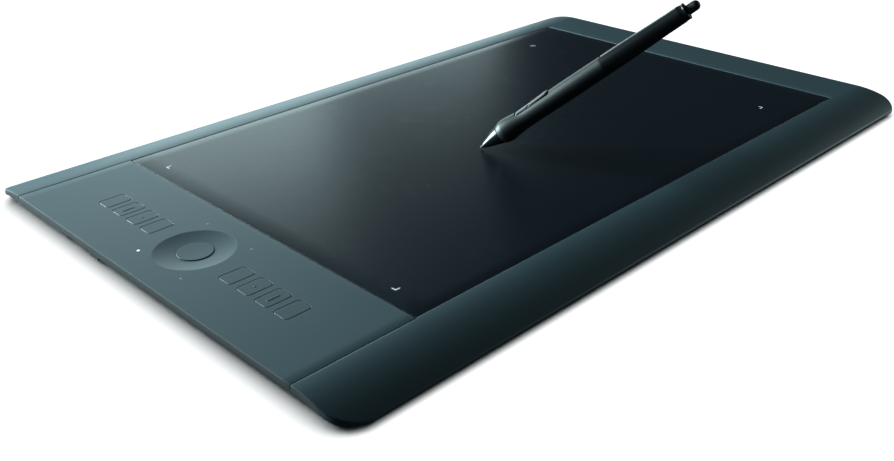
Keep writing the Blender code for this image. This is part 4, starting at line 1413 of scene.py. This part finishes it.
    def grip_piece(self, axes: PenAxes) -> bpy.types.Object:
        """The soft grip: its radius is sunk to a flat floor where the rocker sits.

        Stations and angles lie closer together round the pocket, where its wall is steep.

        Args:
            axes: The pen's frame.

        Returns:
            The grip.
        """
        start, end = self.grip_knots[0][0], self.grip_knots[-1][0]
        soft, fine, reach = 0.25 * MM, 2.5 * MM, 0.75
        first, last = self.switch[0] - 1 * MM, self.switch[2] + 1 * MM
        along = np.concatenate([
            np.linspace(start, first, 44)[:-1],
            np.linspace(first, first + fine, 26)[:-1],
            np.linspace(first + fine, last - fine, 30)[:-1],
            np.linspace(last - fine, last, 26)[:-1],
            np.linspace(last, end, 40),
        ])
        near = np.linspace(-reach, reach, 90)
        angle = np.concatenate([near, np.linspace(reach, math.tau - reach, 72)[1:-1]])
        at, turn = np.meshgrid(along, angle, indexing="ij")
        radius = self.grip_radius(at)
        edge = np.minimum(np.clip((at - start) / soft, 0, 1), np.clip((end - at) / soft, 0, 1))
        radius = radius - soft * (1 - np.sqrt(1 - (1 - edge) ** 2))
        inside = np.cos(turn) > 0.3
        floor = self.pocket_floor / np.where(inside, np.cos(turn), 1)
        sunk = self.pocket(at, radius * np.sin(turn)) * inside
        radius = radius + (np.minimum(floor, radius) - radius) * sunk
        skin = np.stack([radius * np.cos(turn), radius * np.sin(turn), at], axis=-1)
        spin = np.stack([np.cos(angle), np.sin(angle)], axis=-1) * self.bore
        tail = np.concatenate([spin, np.full((len(angle), 1), end)], axis=-1)
        head = np.concatenate([spin, np.full((len(angle), 1), start)], axis=-1)
        work = Patchwork()
        work.grid(axes.place(np.concatenate([skin, tail[None], head[None], skin[:1]])), closed=True)
        return work.build("grip_sleeve", sharp=55)

    def barrel_piece(self, axes: PenAxes) -> bpy.types.Object:
        """The barrel: a cosine taper with soft ends.

        Args:
            axes: The pen's frame.

        Returns:
            The barrel.
        """
        start, end = self.barrel
        low, high = self.barrel_radii
        share = np.linspace(0, 1, 40)
        radius = low + (high - low) * (1 - np.cos(math.pi * share)) / 2
        outer = np.stack([radius, start + (end - start) * share], axis=-1)
        outer[0] += (0, 0.15 * MM)
        outer[-1] -= (0, 0.1 * MM)
        inner = [[self.barrel_bore, end], [self.barrel_bore, start]]
        lead_in = [[low - 0.15 * MM, start]]
        lead_out = [[high - 0.03 * MM, end - 0.02 * MM], [high - 0.12 * MM, end]]
        return self.lathe("barrel", np.concatenate([lead_in, outer, lead_out, inner]), axes, ring=True)

    def ring_piece(self, axes: PenAxes) -> bpy.types.Object:
        """The end ring: it carries on the barrel's line, then flares to a thin lip round the eraser.

        Args:
            axes: The pen's frame.

        Returns:
            The end ring.
        """
        start, end = self.ring
        lip = self.ring_radius
        flush = self.barrel_radii[1] - 0.1 * MM
        rows = [
            (flush - 0.08 * MM, start),
            (flush, start + 0.08 * MM),
            (lip - 0.2 * MM, end - 1.6 * MM),
            (lip - 0.17 * MM, end - 1.3 * MM),
            (lip - 0.06 * MM, end - 0.95 * MM),
            (lip, end - 0.7 * MM),
            (lip, end - 0.3 * MM),
            (lip - 0.12 * MM, end - 0.1 * MM),
            (lip - 0.5 * MM, end),
            (self.eraser_radius + self.gap, end - 0.1 * MM),
            (self.eraser_radius + self.gap, start),
        ]
        return self.lathe("end_ring", np.array(rows), axes, ring=True, sharp=50)

    def eraser_piece(self, axes: PenAxes) -> bpy.types.Object:
        """The eraser: a short rod with a round top.

        Args:
            axes: The pen's frame.

        Returns:
            The eraser.
        """
        root, tip = self.eraser
        rod = [[self.eraser_radius, root], [0, root]]
        return self.lathe("eraser", np.concatenate([self.dome(self.eraser_radius, tip, -1, 16), rod]), axes)

    def rocker_piece(self, axes: PenAxes) -> bpy.types.Object:
        """The rocker: a low front half, a dip, and a rear half that rises.

        Its ridge runs straight from knot to knot, and its sides fall from the ridge as a parabola.

        Args:
            axes: The pen's frame.

        Returns:
            The rocker.
        """
        start, split, end = self.switch
        low, high = self.switch_tops
        middle, half = (start + end) / 2, (end - start) / 2 - 0.1 * MM
        crown, corner, edge = 8.5 * MM, 1.1 * MM, 0.35 * MM
        knots = np.array([
            (start, low - 0.35 * MM),
            (start + 1.5 * MM, low - 0.1 * MM),
            (split - 0.9 * MM, low),
            (split, low - 0.35 * MM),
            (split + 0.9 * MM, low + 0.1 * MM),
            (end - 2.4 * MM, high),
            (end - 1.2 * MM, high - 0.1 * MM),
            (end, high - 0.7 * MM),
        ])

        def height(x: Array, y: Array) -> Array:
            """The ridge's height, less the parabola of the crown's radius."""
            ridge = np.interp(middle + x, knots[:, 0], knots[:, 1])
            return ridge - y**2 / (2 * crown)

        shape = outline(half, self.switch_half - 0.05 * MM, corner, 90, 16)
        plate = domed_plate(shape, height, self.switch_floor, edge)
        local = np.stack([plate[..., 2], plate[..., 1], middle + plate[..., 0]], axis=-1)
        work = Patchwork()
        work.grid(axes.place(local), closed=True)
        return work.build("side_rocker", sharp=50)

    def build(self, palette: Palette) -> None:
        """Makes the pen's pieces, each on the body that carries it.

        Args:
            palette: The finishes.
        """
        axes = PenAxes.from_frame()
        gloss, soft = palette.pen.material("pen_gloss_black"), palette.grip.material("pen_soft_black")
        nib = palette.nib.material("nib_grey")
        dress(self.nib_piece(axes), nib, Slot.NIB, "pen_nib", ("pen_nib",))
        dress(self.cone_piece(axes), gloss, Slot.PEN, "pen", ("pen_nose_cone",))
        dress(self.grip_piece(axes), soft, Slot.GRIP, "pen", ("pen_grip",))
        dress(self.barrel_piece(axes), gloss, Slot.PEN, "pen", ("pen_barrel",))
        dress(self.ring_piece(axes), gloss, Slot.PEN, "pen", ("pen_end_ring",))
        dress(self.eraser_piece(axes), soft, Slot.GRIP, "pen_eraser", ("pen_eraser",))
        dress(self.rocker_piece(axes), gloss, Slot.PEN, "pen_side_switch", ("pen_side_switch",))


# ---- what stays as it is -----------------------------------------------------------------------
@dataclass(frozen=True)
class Carried:
    """The frame's own nodes that stay in view, each with its finish."""

    def build(self, palette: Palette) -> None:
        """Gives each node a material by what its name starts with.

        Args:
            palette: The finishes.
        """
        finishes = {
            "bottom_tray": palette.tray,
            "battery_cover": palette.tray,
            "module_cover": palette.tray,
            "power_button": palette.tray,
            "rubber_foot": palette.rubber,
            "cover_screw": palette.steel,
            "usb_socket": palette.steel,
            "shield_plate": palette.steel,
            "sensor_board": palette.board,
            "key_board": palette.board,
            "ring_sensor_board": palette.board,
            "control_board": palette.board,
            "pen_coil_core": palette.board,
            "battery_pack": palette.wrap,
            "wireless_module": palette.wrap,
            "marker_light_guide": palette.guide,
        }
        made: dict[Slot, bpy.types.Material] = {}
        for name, node in sorted(frame["nodes"].items()):
            if node.hide_render:
                continue
            finish = next(finish for start, finish in finishes.items() if name.startswith(start))
            if finish.slot not in made:
                made[finish.slot] = finish.material(f"kept_{finish.slot.value}")
            node.data.materials.clear()
            node.data.materials.append(made[finish.slot])
            LOG.info("%s keeps its shape", name)


# ---- studio ------------------------------------------------------------------------------------
@dataclass(frozen=True)
class Studio:
    """The pale floor, the soft lights and the camera.

    Attributes:
        floor_size: The floor's length and breadth.
        lens: The camera's focal length in millimetres.
        camera_place: Where the camera stands.
        camera_turn: How it is turned, in degrees about X, Y and Z.
        shift: How far its view is shifted sideways.
        tint: The colour of the soft lights.
    """

    floor_size: float = 12.0
    lens: float = 40.41
    camera_place: tuple[float, float, float] = (-0.4225, -0.40673, 0.25045)
    camera_turn: tuple[float, float, float] = (62.398, 0.724, -45.03)
    shift: float = -0.0181
    tint: Rgb = (0.74, 0.97, 1.0)

    def floor(self) -> bpy.types.Object:
        """A wide matt floor that neither lights the tablet nor shows in its gloss.

        Returns:
            The floor.
        """
        work = bpy.data.meshes.new("floor")
        half = self.floor_size / 2
        corners = [(-half, -half, 0), (half, -half, 0), (half, half, 0), (-half, half, 0)]
        work.from_pydata(corners, [], [(0, 1, 2, 3)])
        floor = bpy.data.objects.new("floor", work)
        bpy.context.scene.collection.objects.link(floor)
        paint = Finish(Slot.TRAY, (0.80, 0.82, 0.82), 0.9, variation=0.01, cloud=3.0, grain=40.0, depth=0.0)
        floor.data.materials.append(paint.material("floor_paint"))
        floor.visible_diffuse = False
        floor.visible_glossy = False
        return floor

    def area_light(
        self,
        name: str,
        azimuth: float,
        elevation: float,
        distance: float,
        size: tuple[float, float],
        power: float,
        colour: Rgb,
    ) -> bpy.types.Object:
        """A soft light that faces the tablet's middle.

        Args:
            name: The light's name.
            azimuth: Its direction in degrees, counterclockwise from +X.
            elevation: Its height in degrees above the floor.
            distance: Its distance in metres.
            size: Its width and height in metres.
            power: Its power in watts.
            colour: Its colour.

        Returns:
            The light.
        """
        data = bpy.data.lights.new(name, "AREA")
        data.shape = "RECTANGLE"
        data.size, data.size_y = size
        data.energy = power
        data.color = colour
        light = bpy.data.objects.new(name, data)
        bpy.context.scene.collection.objects.link(light)
        a, e = math.radians(azimuth), math.radians(elevation)
        way = Vector((math.cos(a) * math.cos(e), math.sin(a) * math.cos(e), math.sin(e)))
        light.location = way * distance
        light.rotation_euler = way.to_track_quat("Z", "Y").to_euler()
        return light

    def lights(self, floor: bpy.types.Object) -> None:
        """Adds low lights from the far left, faint ones for the sheen, and one for the floor alone.

        Args:
            floor: The floor, which the soft lights leave out.
        """
        only = bpy.data.collections.new("floor_only")
        only.objects.link(floor)
        without = bpy.data.collections.new("all_but_floor")
        without.objects.link(floor)
        without.collection_objects[0].light_linking.link_state = "EXCLUDE"
        tint = self.tint
        soft = [
            self.area_light("key", 120, 20, 1.5, (0.9, 0.4), 32.5, tint),
            self.area_light("skim", 120, 5, 1.5, (0.9, 0.4), 58, tint),
            self.area_light("sheen_low", 60, 5, 1.5, (0.9, 0.4), 2.55, tint),
            self.area_light("sheen_middle", 60, 12, 1.5, (0.9, 0.4), 0.65, tint),
            self.area_light("sheen_high", 75, 20, 1.5, (0.9, 0.4), 2.05, tint),
            self.area_light("side", 340, 15, 2.0, (1.0, 1.0), 7.5, tint),
        ]
        for light in soft:
            light.light_linking.receiver_collection = without
        overhead = self.area_light("overhead", 0, 90, 3.0, (6.0, 6.0), 330, (1.0, 1.0, 1.0))
        overhead.light_linking.receiver_collection = only
        world = bpy.data.worlds.new("dim")
        world.use_nodes = True
        background = world.node_tree.nodes["Background"]
        background.inputs["Color"].default_value = (0.8, 0.95, 1.0, 1)
        background.inputs["Strength"].default_value = 0.03
        bpy.context.scene.world = world

    def camera(self) -> None:
        """The camera at the near left, looking down along the tablet."""
        data = bpy.data.cameras.new("camera")
        data.lens = self.lens
        data.shift_x = self.shift
        data.clip_start = 0.01
        camera = bpy.data.objects.new("camera", data)
        bpy.context.scene.collection.objects.link(camera)
        camera.location = self.camera_place
        camera.rotation_euler = [math.radians(angle) for angle in self.camera_turn]
        bpy.context.scene.camera = camera

    def build(self) -> None:
        """Sets the stage."""
        self.lights(self.floor())
        self.camera()
        bpy.context.scene.view_settings.view_transform = "Standard"


def main() -> None:
    """Builds every sub-assembly in order."""
    logging.basicConfig(level=logging.INFO, format="%(name)s: %(message)s")
    palette = Palette()
    layout = Layout.from_frame()
    panel = KeyPanel(layout)
    Cover(layout).build(palette)
    panel.build(palette)
    Controls(panel).build(palette)
    DrawingSurface().build(palette)
    Pen().build(palette)
    Carried().build(palette)
    Studio().build()


if __name__ == "__main__":
    main()
